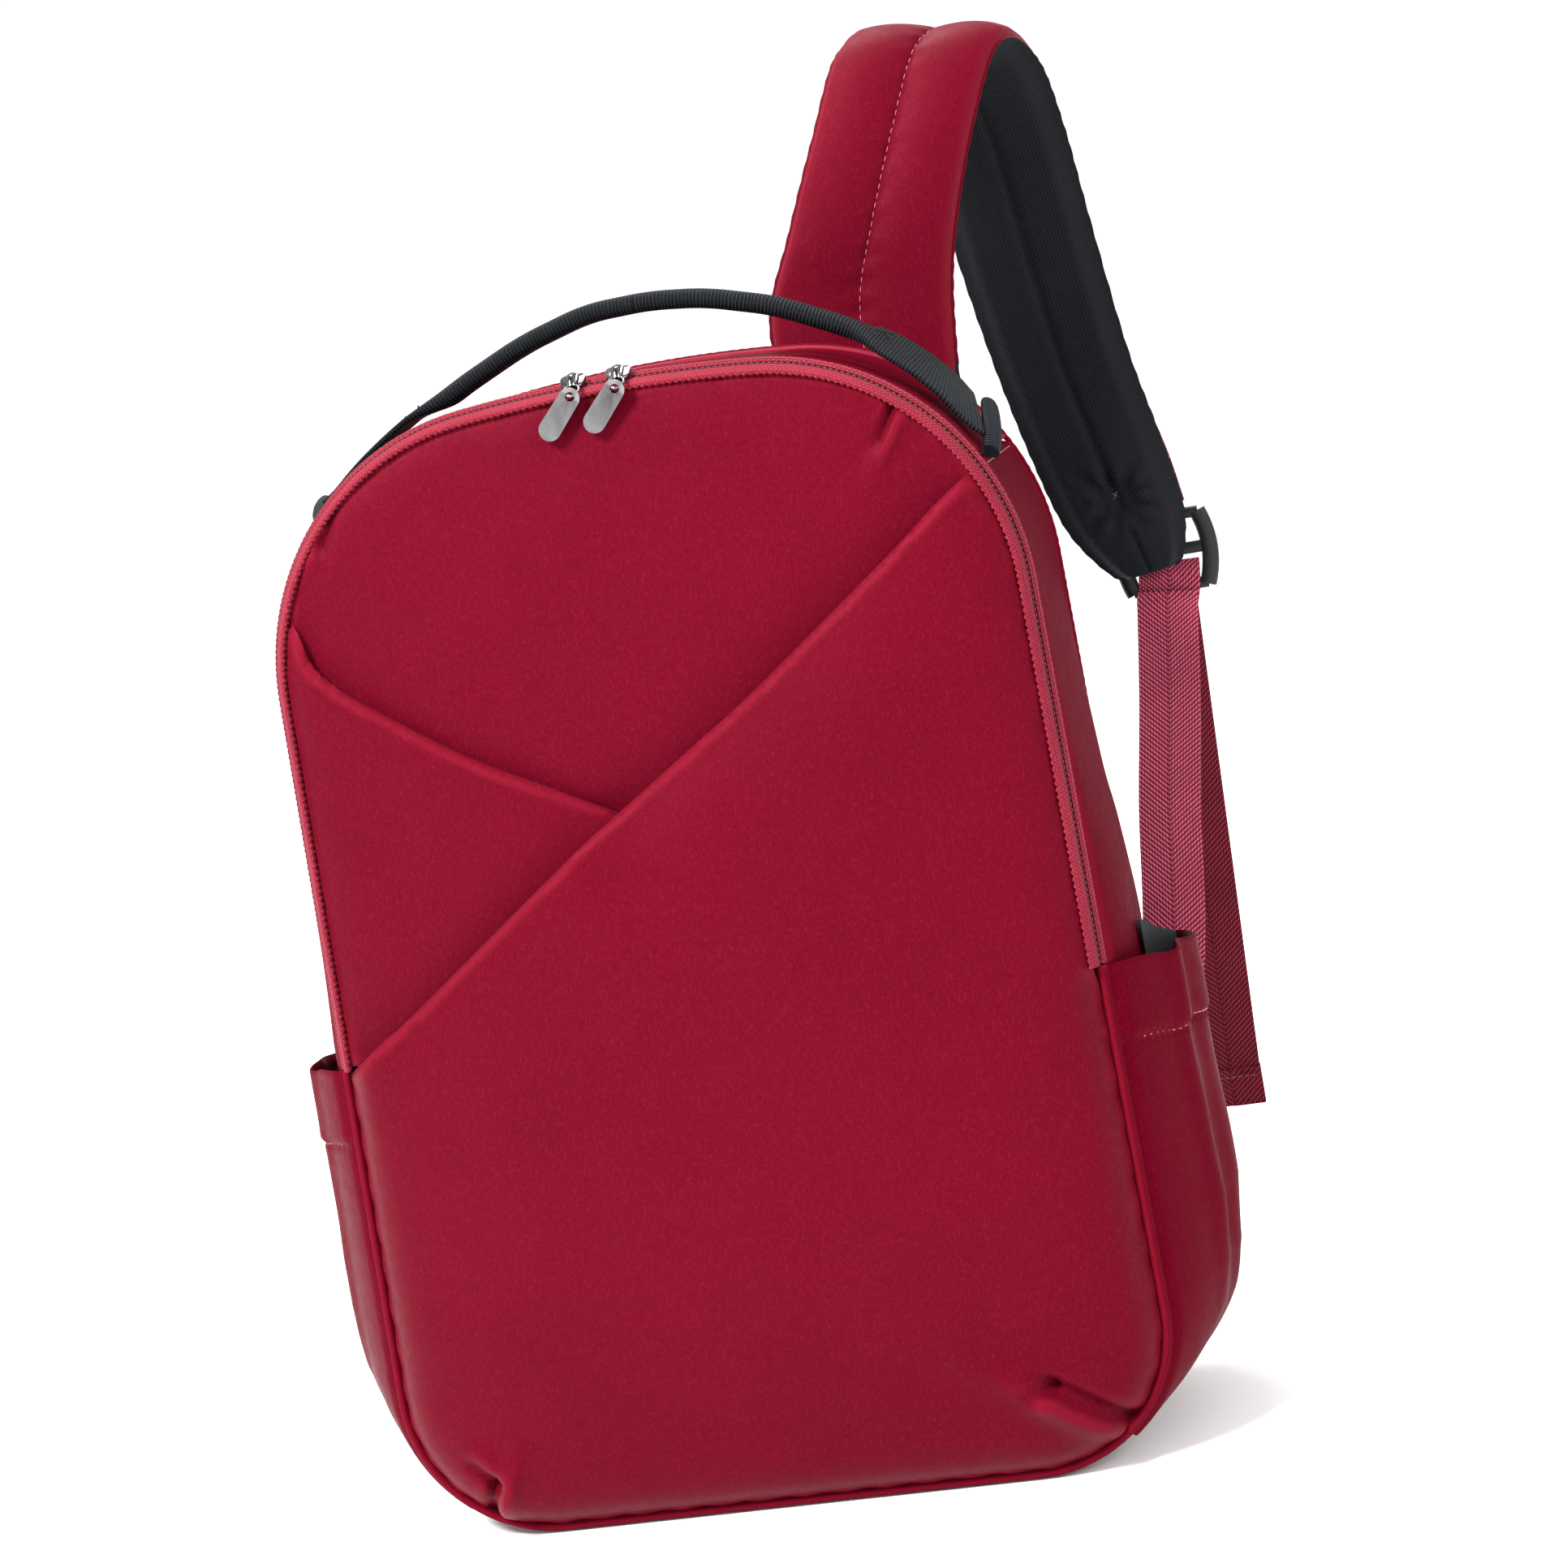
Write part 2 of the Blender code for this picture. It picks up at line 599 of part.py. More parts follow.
def make_root(name, sign, top_z, top_y):
    """Sewn-on start of a strap, fixed to the back of the bag."""
    inner, outer = [], []
    rows = (0.0480, 0.1150, 0.0665, 0.3560), (0.0480, 0.1160, 0.0700, 0.3760), (0.0484, 0.1180, top_y, top_z)
    for near_x, far_x, y, z in rows:
        inner.append((sign * near_x, y, z))
        outer.append((sign * far_x, y, z))
    thicken = lambda along, across: (0.0, -0.0022 - 0.0055 * along)
    ribbon("strap_root_" + name, inner, outer, thicken, CRIMSON, 0.5, 6, 8, sign)


def make_lock(name, centre, tilt):
    """Ladder lock: rounded frame with three cross bars."""
    turn = Matrix.Rotation(math.radians(tilt), 4, "X")
    size = (LOCK_WIDTH, LOCK_THICK, LOCK_HEIGHT)
    frame = block("ladder_lock_" + name, centre, size, BLACK, 0.45, turn=turn, corner=0.0075, sides=4)
    for k, shift in enumerate((0.0075, -0.0065)):
        move = turn @ Vector((0.0, 0.0, shift))
        slot = (0.0268, 0.02, 0.0062)
        place = Vector(centre) + move
        subtract(frame, block("slot_%s_%d_guide" % (name, k), place, slot, BLACK, turn=turn))


def make_straps():
    make_strap("right", RAISED_LEFT, RAISED_RIGHT, 1.0)
    lefts = [(x - w / 2, y, z) for (x, y, z), w in zip(HUNG_CENTRE, HUNG_WIDTH)]
    rights = [(x + w / 2, y, z) for (x, y, z), w in zip(HUNG_CENTRE, HUNG_WIDTH)]
    make_strap("left", lefts, rights, 1.0)
    make_root("right", 1, 0.4500, 0.0722)
    make_root("left", -1, 0.3870, 0.0735)
    loop = [(0.1730, 0.1770, 0.3800), (0.1780, 0.1765, 0.3600), (0.1815, 0.1740, 0.3400)]
    webbing("strap_loop_right", loop, WEB_WIDTH, WEB_THICK, ROSE, steps=6)
    loop = [(-0.0965, 0.1165, 0.1480), (-0.0972, 0.1160, 0.1400), (-0.0976, 0.1155, 0.1320)]
    webbing("strap_loop_left", loop, WEB_WIDTH, WEB_THICK, ROSE, steps=6)
    make_lock("right", (0.1830, 0.1740, 0.3210), 0)
    make_lock("left", (-0.0980, 0.1155, 0.1130), 0)
    for name, line in (("right", ADJUSTER_RIGHT), ("left", ADJUSTER_LEFT)):
        webbing("adjuster_webbing_" + name, line, WEB_WIDTH, WEB_THICK, ROSE)
    for name, sign in (("right", 1), ("left", -1)):
        tab = [(sign * x, y, z) for x, y, z in ANCHOR_TAB]
        webbing("anchor_tab_" + name, tab, WEB_WIDTH, WEB_THICK, ROSE, steps=6)


def make_tails():
    ends = {"right": (0.1800, 0.1775, 0.3010, 0.0905, 0.0060), "left": (-0.0980, 0.1190, 0.0935, 0.0420, 0.0)}
    for name, (x, y, top, low, drift) in ends.items():
        line = [(x, y, top), (x - drift * 0.5, y + 0.001, (top + low) / 2), (x - drift, y, low)]
        webbing("webbing_tail_" + name, line, WEB_WIDTH, WEB_THICK, ROSE, steps=8)
        hem = [(x - drift, y, low - GAP), (x - drift, y, low - 0.0160)]
        webbing("tail_hem_" + name, hem, WEB_WIDTH, 0.0042, ROSE, steps=2)


# Zip sliders and pulls


def make_slider(name, x):
    """Slider on the main zip, with a link ring and a leaning tab."""
    centre_z = HEIGHT - CROWN_RADIUS
    angle = math.asin(x / CROWN_RADIUS)
    across = Vector((math.sin(angle), 0.0, math.cos(angle)))
    radius = CROWN_RADIUS - 0.0018
    top_z = centre_z + radius * math.cos(angle)
    coil = Vector((radius * math.sin(angle), front_y(top_z) + 0.0060, top_z))
    down = (Vector((0.0, -0.817, 0.0)) - across * 0.577).normalized()
    normal = (Vector((0.0, -0.577, 0.0)) + across * 0.817).normalized()
    track = down.cross(normal).normalized()
    turn = Matrix((track, normal, down)).transposed().to_4x4()
    middle = coil + normal * 0.0029
    block("main_slider_" + name, middle, (0.0110, 0.0030, 0.0076), STEEL, 0.2, 1.0, turn, 0.0028)
    ring_centre = middle + down * 0.0093 + normal * 0.0004
    ring = bmesh.new()
    verts = []
    for a in range(16):
        row = []
        for b in range(8):
            big, small = 2 * math.pi * a / 16, 2 * math.pi * b / 8
            reach = 0.0037 + 0.0008 * math.cos(small)
            local = Vector((reach * math.cos(big), 0.0008 * math.sin(small), reach * math.sin(big)))
            row.append(ring.verts.new(ring_centre + turn.to_3x3() @ local))
        verts.append(row)
    for a in range(16):
        for b in range(8):
            c, d = (a + 1) % 16, (b + 1) % 8
            ring.faces.new([verts[a][b], verts[c][b], verts[c][d], verts[a][d]])
    finish("pull_ring_" + name, ring, STEEL, 0.2, 1.0)
    lean = math.radians(TAB_LEAN)
    drop = Vector((-math.sin(lean), -LEAN / HEIGHT, -math.cos(lean))).normalized()
    face = Vector((0.0, -1.0, -LEAN / HEIGHT)).normalized()
    face = (face - drop * face.dot(drop)).normalized()
    wide = drop.cross(face).normalized()
    turn = Matrix((wide, face, drop)).transposed().to_4x4()
    place = ring_centre + Vector((0.0, -0.0012, 0.0)) + drop * (0.0054 + TAB_LENGTH / 2)
    block("pull_tab_" + name, place, (TAB_WIDTH, 0.0014, TAB_LENGTH), STEEL, 0.2, 1.0, turn, 0.0038, 4)


def make_rear_slider():
    """Slider and pull of the rear zip, at the left shoulder near the end of its tape."""
    angle = math.radians(REAR_SLIDER_ANGLE)
    outward = Vector((-math.cos(angle), 0.0, math.sin(angle)))
    down = Vector((-math.sin(angle), 0.0, -math.cos(angle)))
    turn = Matrix((down, outward, down.cross(outward))).transposed().to_4x4()
    y = BACK_Y - BINDING - GAP - REAR_ZIP_WIDTH / 2
    centre = Vector((-SHOULDER_X, y, SHOULDER_Z)) + outward * (SHOULDER_RADIUS + 0.0022)
    block("rear_slider", centre, (0.0110, 0.0030, 0.0076), STEEL, 0.2, 1.0, turn, 0.0028)
    place = centre + down * 0.0187 + outward * 0.0008
    block("rear_pull", place, (0.0230, 0.0014, TAB_WIDTH), STEEL, 0.2, 1.0, turn, 0.0038, 4)


def main():
    clear_scene()
    make_shell()
    make_back()
    make_front()
    make_pocket("left", -1)
    make_pocket("right", 1)
    make_handle()
    make_straps()
    make_tails()
    make_slider("left", -0.0105)
    make_slider("right", 0.0070)
    make_rear_slider()


main()
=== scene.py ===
"""Looks of the travel backpack: sewn fabric, zips, webbing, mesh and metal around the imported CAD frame."""
import math

import bmesh
import bpy
import numpy as np
from mathutils import Matrix, Vector, kdtree, noise
from mathutils.geometry import delaunay_2d_cdt


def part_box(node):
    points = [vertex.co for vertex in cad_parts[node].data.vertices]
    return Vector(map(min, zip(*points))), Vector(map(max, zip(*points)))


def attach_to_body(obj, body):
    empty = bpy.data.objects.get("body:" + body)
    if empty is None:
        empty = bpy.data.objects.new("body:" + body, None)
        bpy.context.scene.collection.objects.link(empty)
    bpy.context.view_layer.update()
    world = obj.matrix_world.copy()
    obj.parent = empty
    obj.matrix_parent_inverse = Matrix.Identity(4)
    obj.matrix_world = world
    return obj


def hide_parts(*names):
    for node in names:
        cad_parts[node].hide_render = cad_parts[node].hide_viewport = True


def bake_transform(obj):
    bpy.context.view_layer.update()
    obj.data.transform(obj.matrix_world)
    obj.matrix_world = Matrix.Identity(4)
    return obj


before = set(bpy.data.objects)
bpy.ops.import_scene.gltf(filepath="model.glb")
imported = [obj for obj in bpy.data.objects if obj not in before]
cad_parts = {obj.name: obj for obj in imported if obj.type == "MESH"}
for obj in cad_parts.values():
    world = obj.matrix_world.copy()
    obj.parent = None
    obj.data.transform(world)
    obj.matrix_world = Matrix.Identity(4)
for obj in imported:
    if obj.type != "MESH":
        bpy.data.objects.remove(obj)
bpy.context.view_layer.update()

# Bag shell, as the CAD model has it (metres)
HEIGHT = 0.440
HALF_WIDTH = 0.1541
TAPER = 0.0177
CROWN_RADIUS = 0.570
SHOULDER_RADIUS = 0.0997
FOOT_RADIUS = 0.0585
FRONT_Y = -0.0633
BACK_Y = 0.0633
LEAN = 0.016
RIM_DEEP = 0.0085
HINGE_Z = 0.1935
JOIN_Z = 0.3870
REAR_ZIP_WIDTH = 0.0100
BINDING = 0.0027
UPPER_BACK, UPPER_CROWN = 0.0036, 0.0065
LEFT_BACK, LEFT_CROWN = 0.0018, 0.0100
RIGHT_CROWN = 0.0135
CLOTH = 0.0013

# Camera: the photograph's viewing angle
CAMERA_YAW = math.radians(11.99)
CAMERA_PITCH = math.radians(7.47)
CAMERA_ROLL = math.radians(-10.42)
CAMERA_DISTANCE = 1.338
CAMERA_TARGET = Vector((0.0, 0.0, 0.2812))
CAMERA_LENS = 78.3
CAMERA_SHIFT = (0.0553, -0.0070)

# Colours (linear)
CRIMSON = (0.074, 0.0008, 0.0062)
CRIMSON_DARK = (0.042, 0.0004, 0.0030)
# Lighter crimson: yarn flecks, and also the painted highlight along convex satin edges.
CRIMSON_LIGHT = (0.140, 0.0045, 0.0130)
ROSE = (0.230, 0.0210, 0.0370)
ROSE_DARK = (0.100, 0.0042, 0.0110)
ROSE_LIGHT = (0.400, 0.0640, 0.0880)
BLACK = (0.0018, 0.0020, 0.0030)
BLACK_LIGHT = (0.0055, 0.0066, 0.0095)
CHARCOAL = (0.0046, 0.0058, 0.0075)
CHARCOAL_LIGHT = (0.016, 0.021, 0.026)
THREAD = (0.38, 0.055, 0.075)


def smooth(value):
    """Ease from 0 to 1 as the value goes from 0 to 1."""
    value = min(max(value, 0.0), 1.0)
    return value * value * (3 - 2 * value)


def ripple(x, y, z, size):
    """Smooth noise from -1 to 1 with features of a given size."""
    return noise.noise(Vector((x / size, y / size, z / size)))


# The bag's outline, by distance along it from the middle of the base; left is the mirror of right


def arc_points(centre, radius, start, end, count):
    found = []
    for step in range(count + 1):
        angle = start + (end - start) * step / count
        normal = (math.cos(angle), math.sin(angle))
        found.append((centre[0] + radius * normal[0], centre[1] + radius * normal[1], *normal))
    return found


def half_outline():
    """Right half as (x, z, normal x, normal z), from the middle of the base to the top of the crown."""
    size = math.hypot(1.0, TAPER)
    nx, nz = 1.0 / size, TAPER / size
    reach = nx * HALF_WIDTH
    foot = ((reach - FOOT_RADIUS - nz * FOOT_RADIUS) / nx, FOOT_RADIUS)
    crown_z = HEIGHT - CROWN_RADIUS
    along = reach - SHOULDER_RADIUS
    base = (nx * along, nz * along - crown_z)
    half = -nz * base[0] + nx * base[1]
    rest = base[0] ** 2 + base[1] ** 2 - (CROWN_RADIUS - SHOULDER_RADIUS) ** 2
    step = -half + math.sqrt(half * half - rest)
    shoulder = (nx * along - nz * step, nz * along + nx * step)
    side = math.atan2(nz, nx)
    lift = math.atan2(shoulder[1] - crown_z, shoulder[0])
    points = [(foot[0] * k / 4, 0.0, 0.0, -1.0) for k in range(4)]
    points += arc_points(foot, FOOT_RADIUS, -math.pi / 2, side, 24)
    low = points[-1]
    high = (shoulder[0] + SHOULDER_RADIUS * nx, shoulder[1] + SHOULDER_RADIUS * nz)
    for k in range(1, 8):
        points.append((low[0] + (high[0] - low[0]) * k / 8, low[1] + (high[1] - low[1]) * k / 8, nx, nz))
    points += arc_points(shoulder, SHOULDER_RADIUS, side, lift, 30)
    points += arc_points((0.0, crown_z), CROWN_RADIUS, lift, math.pi / 2, 15)[1:]
    return points


OUTLINE = half_outline()
DISTANCE = [0.0]
for first, second in zip(OUTLINE, OUTLINE[1:]):
    DISTANCE.append(DISTANCE[-1] + math.hypot(second[0] - first[0], second[1] - first[1]))
HALF_LENGTH = DISTANCE[-1]


def edge(distance, out=0.0):
    """Point (x, z) on the outline, moved outward; a distance below zero or past the crown is on the left."""
    length = distance % (2 * HALF_LENGTH)
    sign = 1.0 if length <= HALF_LENGTH else -1.0
    length = min(length, 2 * HALF_LENGTH - length)
    k = min(max(int(np.searchsorted(DISTANCE, length)) - 1, 0), len(DISTANCE) - 2)
    part = (length - DISTANCE[k]) / (DISTANCE[k + 1] - DISTANCE[k])
    mixed = [a + (b - a) * part for a, b in zip(OUTLINE[k], OUTLINE[k + 1])]
    size = math.hypot(mixed[2], mixed[3])
    return sign * (mixed[0] + mixed[2] / size * out), mixed[1] + mixed[3] / size * out


def distance_at(height):
    """Distance along the right half at which the outline reaches a height on the side."""
    for k in range(4, len(OUTLINE) - 1):
        if OUTLINE[k + 1][1] >= height:
            low, high = OUTLINE[k][1], OUTLINE[k + 1][1]
            return DISTANCE[k] + (DISTANCE[k + 1] - DISTANCE[k]) * (height - low) / (high - low)
    return HALF_LENGTH


HINGE_S = distance_at(HINGE_Z)
JOIN_S = distance_at(JOIN_Z)


def front_y(z):
    return FRONT_Y + LEAN * z / HEIGHT


def bulge(z, part):
    """How far the soft side wall stands out between the front rim and the back."""
    share = min(max((z - 0.20) / 0.17, 0.0), 1.0)
    foot = min(max((z - 0.004) / 0.06, 0.0), 1.0)
    return (0.011 - 0.0125 * share) * foot * math.sin(math.pi * part ** 0.8)


def wall_share(z, y):
    """Share of the way from the rim to the back of the bag."""
    start = front_y(z) + RIM_DEEP
    return min(max((y - start) / (BACK_Y - start), 0.0), 1.0)


# Meshes


def new_piece(name, verts, faces, uvs=None, materials=(), slots=None, sharp=50):
    """Mesh object with smooth shading; uvs holds one (u, v) in metres for each face corner."""
    mesh = bpy.data.meshes.new(name)
    mesh.from_pydata([tuple(v) for v in verts], [], faces)
    if uvs is not None:
        layer = mesh.uv_layers.new(name="Flat")
        layer.data.foreach_set("uv", np.array(uvs, dtype=np.float32).ravel())
    for item in materials:
        mesh.materials.append(item)
    mesh.polygons.foreach_set("use_smooth", [True] * len(faces))
    if slots is not None:
        mesh.polygons.foreach_set("material_index", slots)
    mesh.update()
    mesh.set_sharp_from_angle(angle=math.radians(sharp))
    made = bpy.data.objects.new(name, mesh)
    bpy.context.scene.collection.objects.link(made)
    return made


def grid_normals(grid, closed):
    """Unit normal at each point of a grid of rows, pointing to the side where rows x columns turn left."""
    along = np.gradient(grid, axis=0)
    if closed:
        across = (np.roll(grid, -1, axis=1) - np.roll(grid, 1, axis=1)) / 2
    else:
        across = np.gradient(grid, axis=1)
    normal = np.cross(across, along)
    size = np.linalg.norm(normal, axis=2, keepdims=True)
    return normal / np.maximum(size, 1e-12)


def cloth_grid(name, rows, materials, thick=0.0, closed=False, flip=False, sharp=50):
    """Cloth through rows of points, with UVs in metres; thick adds a face behind it in the last material."""
    grid = np.array([[tuple(p) for p in row] for row in rows], dtype=float)
    count, columns = grid.shape[:2]
    wrap = columns if closed else columns - 1
    ends = grid[:, (np.arange(wrap) + 1) % columns]
    u = np.concatenate([[0.0], np.cumsum(np.linalg.norm(ends - grid[:, :wrap], axis=2).mean(axis=0))])
    v = np.concatenate([[0.0], np.cumsum(np.linalg.norm(np.diff(grid, axis=0), axis=2).mean(axis=1))])
    verts = list(grid.reshape(-1, 3))
    faces, uvs, slots = [], [], []

    def add(quad, corners, slot):
        if flip:
            quad, corners = quad[::-1], corners[::-1]
        faces.append(quad)
        uvs.extend(corners)
        slots.append(slot)

    for r in range(count - 1):
        for c in range(wrap):
            d = (c + 1) % columns
            quad = [r * columns + c, r * columns + d, (r + 1) * columns + d, (r + 1) * columns + c]
            add(quad, [(u[c], v[r]), (u[c + 1], v[r]), (u[c + 1], v[r + 1]), (u[c], v[r + 1])], 0)
    if thick:
        normal = grid_normals(grid, closed) * (-1.0 if flip else 1.0)
        verts += list((grid - normal * thick).reshape(-1, 3))
        shift = count * columns
        last = len(materials) - 1
        for quad, corner in [(f, k) for k, f in enumerate(faces)]:
            back = [q + shift for q in quad[::-1]]
            faces_uv = uvs[4 * corner:4 * corner + 4][::-1]
            faces.append(back)
            uvs.extend(faces_uv)
            slots.append(last)
        rims = [[r * columns + c, r * columns + (c + 1) % columns]
                for r in (0, count - 1) for c in range(wrap)]
        turned = [r == 0 for r in (0, count - 1) for c in range(wrap)]
        if not closed:
            for c in (0, columns - 1):
                for r in range(count - 1):
                    rims.append([r * columns + c, (r + 1) * columns + c])
                    turned.append(c != 0)
        for (a, b), swap in zip(rims, turned):
            quad = [a, b, b + shift, a + shift]
            if swap != flip:
                quad = quad[::-1]
            faces.append(quad)
            uvs.extend([(0.0, 0.0)] * 4)
            slots.append(0)
    return new_piece(name, verts, faces, uvs, materials, slots, sharp)


def spline(points, part):
    """Smooth curve through evenly spaced points, at a share of its length."""
    spans = len(points) - 1
    place = min(max(part, 0.0), 1.0) * spans
    k = min(int(place), spans - 1)
    t = place - k
    before = points[k - 1] if k else points[0] * 2 - points[1]
    after = points[k + 2] if k + 2 <= spans else points[spans] * 2 - points[spans - 1]
    a, b = points[k], points[k + 1]
    bend = (before * 2 - a * 5 + b * 4 - after) * t * t + (a * 3 - before - b * 3 + after) * t * t * t
    return (a * 2 + (b - before) * t + bend) * 0.5


def stitches(name, path, normals, material, length=0.0024, gap=0.0011, radius=0.00030, sink=0.0):
    """Row of sewn stitches along a path; each is a small spindle that dips into the cloth at its ends."""
    path = [Vector(p) for p in path]
    normals = [Vector(n) for n in normals]
    marks = [0.0]
    for a, b in zip(path, path[1:]):
        marks.append(marks[-1] + (b - a).length)

    def at(distance):
        k = min(max(int(np.searchsorted(marks, distance)) - 1, 0), len(path) - 2)
        t = (distance - marks[k]) / max(marks[k + 1] - marks[k], 1e-9)
        return path[k].lerp(path[k + 1], t), normals[k].lerp(normals[k + 1], t).normalized()

    verts, faces = [], []
    place = gap
    while place + length < marks[-1]:
        start = len(verts)
        for k in range(5):
            t = k / 4
            spot, normal = at(place + length * t)
            ahead = (at(place + length * t + 0.0003)[0] - at(place + length * t - 0.0003)[0]).normalized()
            side = normal.cross(ahead)
            girth = radius * (0.45 + 0.55 * math.sin(math.pi * t))
            lift = radius * (0.75 * math.sin(math.pi * t) - 0.25) - sink
            for turn in range(6):
                angle = math.pi * turn / 3
                offset = side * math.cos(angle) * girth + normal * (math.sin(angle) * girth + lift)
                verts.append(spot + offset)
        for k in range(4):
            for turn in range(6):
                a, b = start + k * 6 + turn, start + k * 6 + (turn + 1) % 6
                faces.append([a, b, b + 6, a + 6])
        faces.append([start + t for t in range(5, -1, -1)])
        faces.append([start + 24 + t for t in range(6)])
        place += length + gap
    made = new_piece(name, verts, faces, None, [material])
    return made


def tube(name, path, radius, material, sides=8, closed=False, squash=1.0, ups=None):
    """Round cord of cloth or plastic along a path."""
    path = [Vector(p) for p in path]
    count = len(path)
    verts, faces, uvs = [], [], []
    travel = 0.0
    marks = []
    for k, spot in enumerate(path):
        if k:
            travel += (spot - path[k - 1]).length
        marks.append(travel)
        ahead = path[(k + 1) % count if closed else min(k + 1, count - 1)]
        behind = path[k - 1 if closed or k else 0]
        forward = (ahead - behind).normalized()
        up = Vector(ups[k]) if ups else Vector((0.0, 1.0, 0.0))
        side = forward.cross(up).normalized()
        up = side.cross(forward)
        size = radius(k / (count - 1)) if callable(radius) else radius
        for turn in range(sides):
            angle = 2 * math.pi * turn / sides
            verts.append(spot + side * math.cos(angle) * size + up * math.sin(angle) * size * squash)
    for k in range(count if closed else count - 1):
        m = (k + 1) % count
        for turn in range(sides):
            n = (turn + 1) % sides
            faces.append([k * sides + turn, k * sides + n, m * sides + n, m * sides + turn])
            low = marks[k]
            high = marks[m] if m else travel + 0.001
            a, b = turn / sides * 0.01, (turn + 1) / sides * 0.01
            uvs.extend([(low, a), (low, b), (high, b), (high, a)])
    if not closed:
        faces.append(list(range(sides - 1, -1, -1)))
        faces.append([(count - 1) * sides + t for t in range(sides)])
        uvs.extend([(0.0, 0.0)] * (2 * sides))
    return new_piece(name, verts, faces, uvs, [material])


# Materials: one Principled shader each, built from noise, waves and UV patterns


class Look:
    """A material under construction: short calls that add one node each and return its output."""

    def __init__(self, name, rough=0.5, metal=0.0, **fixed):
        self.material = bpy.data.materials.new(name)
        self.material.use_nodes = True
        self.nodes = self.material.node_tree.nodes
        self.links = self.material.node_tree.links
        self.shader = self.nodes["Principled BSDF"]
        self.shader.inputs["Roughness"].default_value = rough
        self.shader.inputs["Metallic"].default_value = metal
        for key, value in fixed.items():
            self.shader.inputs[key.replace("_", " ")].default_value = value

    def put(self, node, socket, value):
        target = node.inputs[socket]
        if isinstance(value, bpy.types.NodeSocket):
            self.links.new(value, target)
        elif isinstance(value, tuple) and len(value) == 3 and target.type == "RGBA":
            target.default_value = (*value, 1.0)
        elif value is not None:
            target.default_value = value

    def place(self, scale=(1.0, 1.0, 1.0)):
        """Position in the object's own space, in metres, times a scale."""
        spot = self.nodes.new("ShaderNodeTexCoord").outputs["Object"]
        return self.stretch(spot, scale)

    def flat(self, scale=(1.0, 1.0, 1.0)):
        """Position along and across the strip, in metres, times a scale."""
        spot = self.nodes.new("ShaderNodeUVMap")
        spot.uv_map = "Flat"
        return self.stretch(spot.outputs["UV"], scale)

    def stretch(self, spot, scale):
        node = self.nodes.new("ShaderNodeVectorMath")
        node.operation = "MULTIPLY"
        self.links.new(spot, node.inputs[0])
        node.inputs[1].default_value = scale
        return node.outputs[0]

    def split(self, spot):
        node = self.nodes.new("ShaderNodeSeparateXYZ")
        self.links.new(spot, node.inputs[0])
        return node.outputs[0], node.outputs[1], node.outputs[2]

    def math(self, kind, a, b=None, c=None):
        node = self.nodes.new("ShaderNodeMath")
        node.operation = kind
        for k, value in enumerate((a, b, c)):
            self.put(node, k, value)
        return node.outputs[0]

    def noise(self, spot, scale, detail=2.0, rough=0.5, warp=0.0):
        node = self.nodes.new("ShaderNodeTexNoise")
        self.links.new(spot, node.inputs["Vector"])
        settings = {"Scale": scale, "Detail": detail, "Roughness": rough, "Distortion": warp}
        for socket, value in settings.items():
            node.inputs[socket].default_value = value
        return node.outputs["Fac"]

    def band(self, value, pitch, shift=0.0):
        """Wave from 0 to 1 with a given pitch in metres."""
        phase = self.math("MULTIPLY_ADD", value, 2 * math.pi / pitch, shift)
        return self.math("MULTIPLY_ADD", self.math("SINE", phase), 0.5, 0.5)

    def range(self, value, low, high, to_low=0.0, to_high=1.0):
        node = self.nodes.new("ShaderNodeMapRange")
        self.links.new(value, node.inputs[0])
        for k, number in enumerate((low, high, to_low, to_high)):
            node.inputs[k + 1].default_value = number
        return node.outputs[0]

    def mix(self, share, a, b, kind="MIX"):
        node = self.nodes.new("ShaderNodeMix")
        node.data_type = "RGBA"
        node.blend_type = kind
        self.put(node, 0, share)
        self.put(node, 6, a)
        self.put(node, 7, b)
        return node.outputs[2]

    def bump(self, height, distance, strength=1.0, under=None):
        node = self.nodes.new("ShaderNodeBump")
        node.inputs["Strength"].default_value = strength
        node.inputs["Distance"].default_value = distance
        self.links.new(height, node.inputs["Height"])
        if under is not None:
            self.links.new(under, node.inputs["Normal"])
        return node.outputs[0]

    def done(self, colour=None, rough=None, normal=None):
        for socket, value in (("Base Color", colour), ("Roughness", rough), ("Normal", normal)):
            if value is not None:
                self.links.new(value, self.shader.inputs[socket])
        return self.material


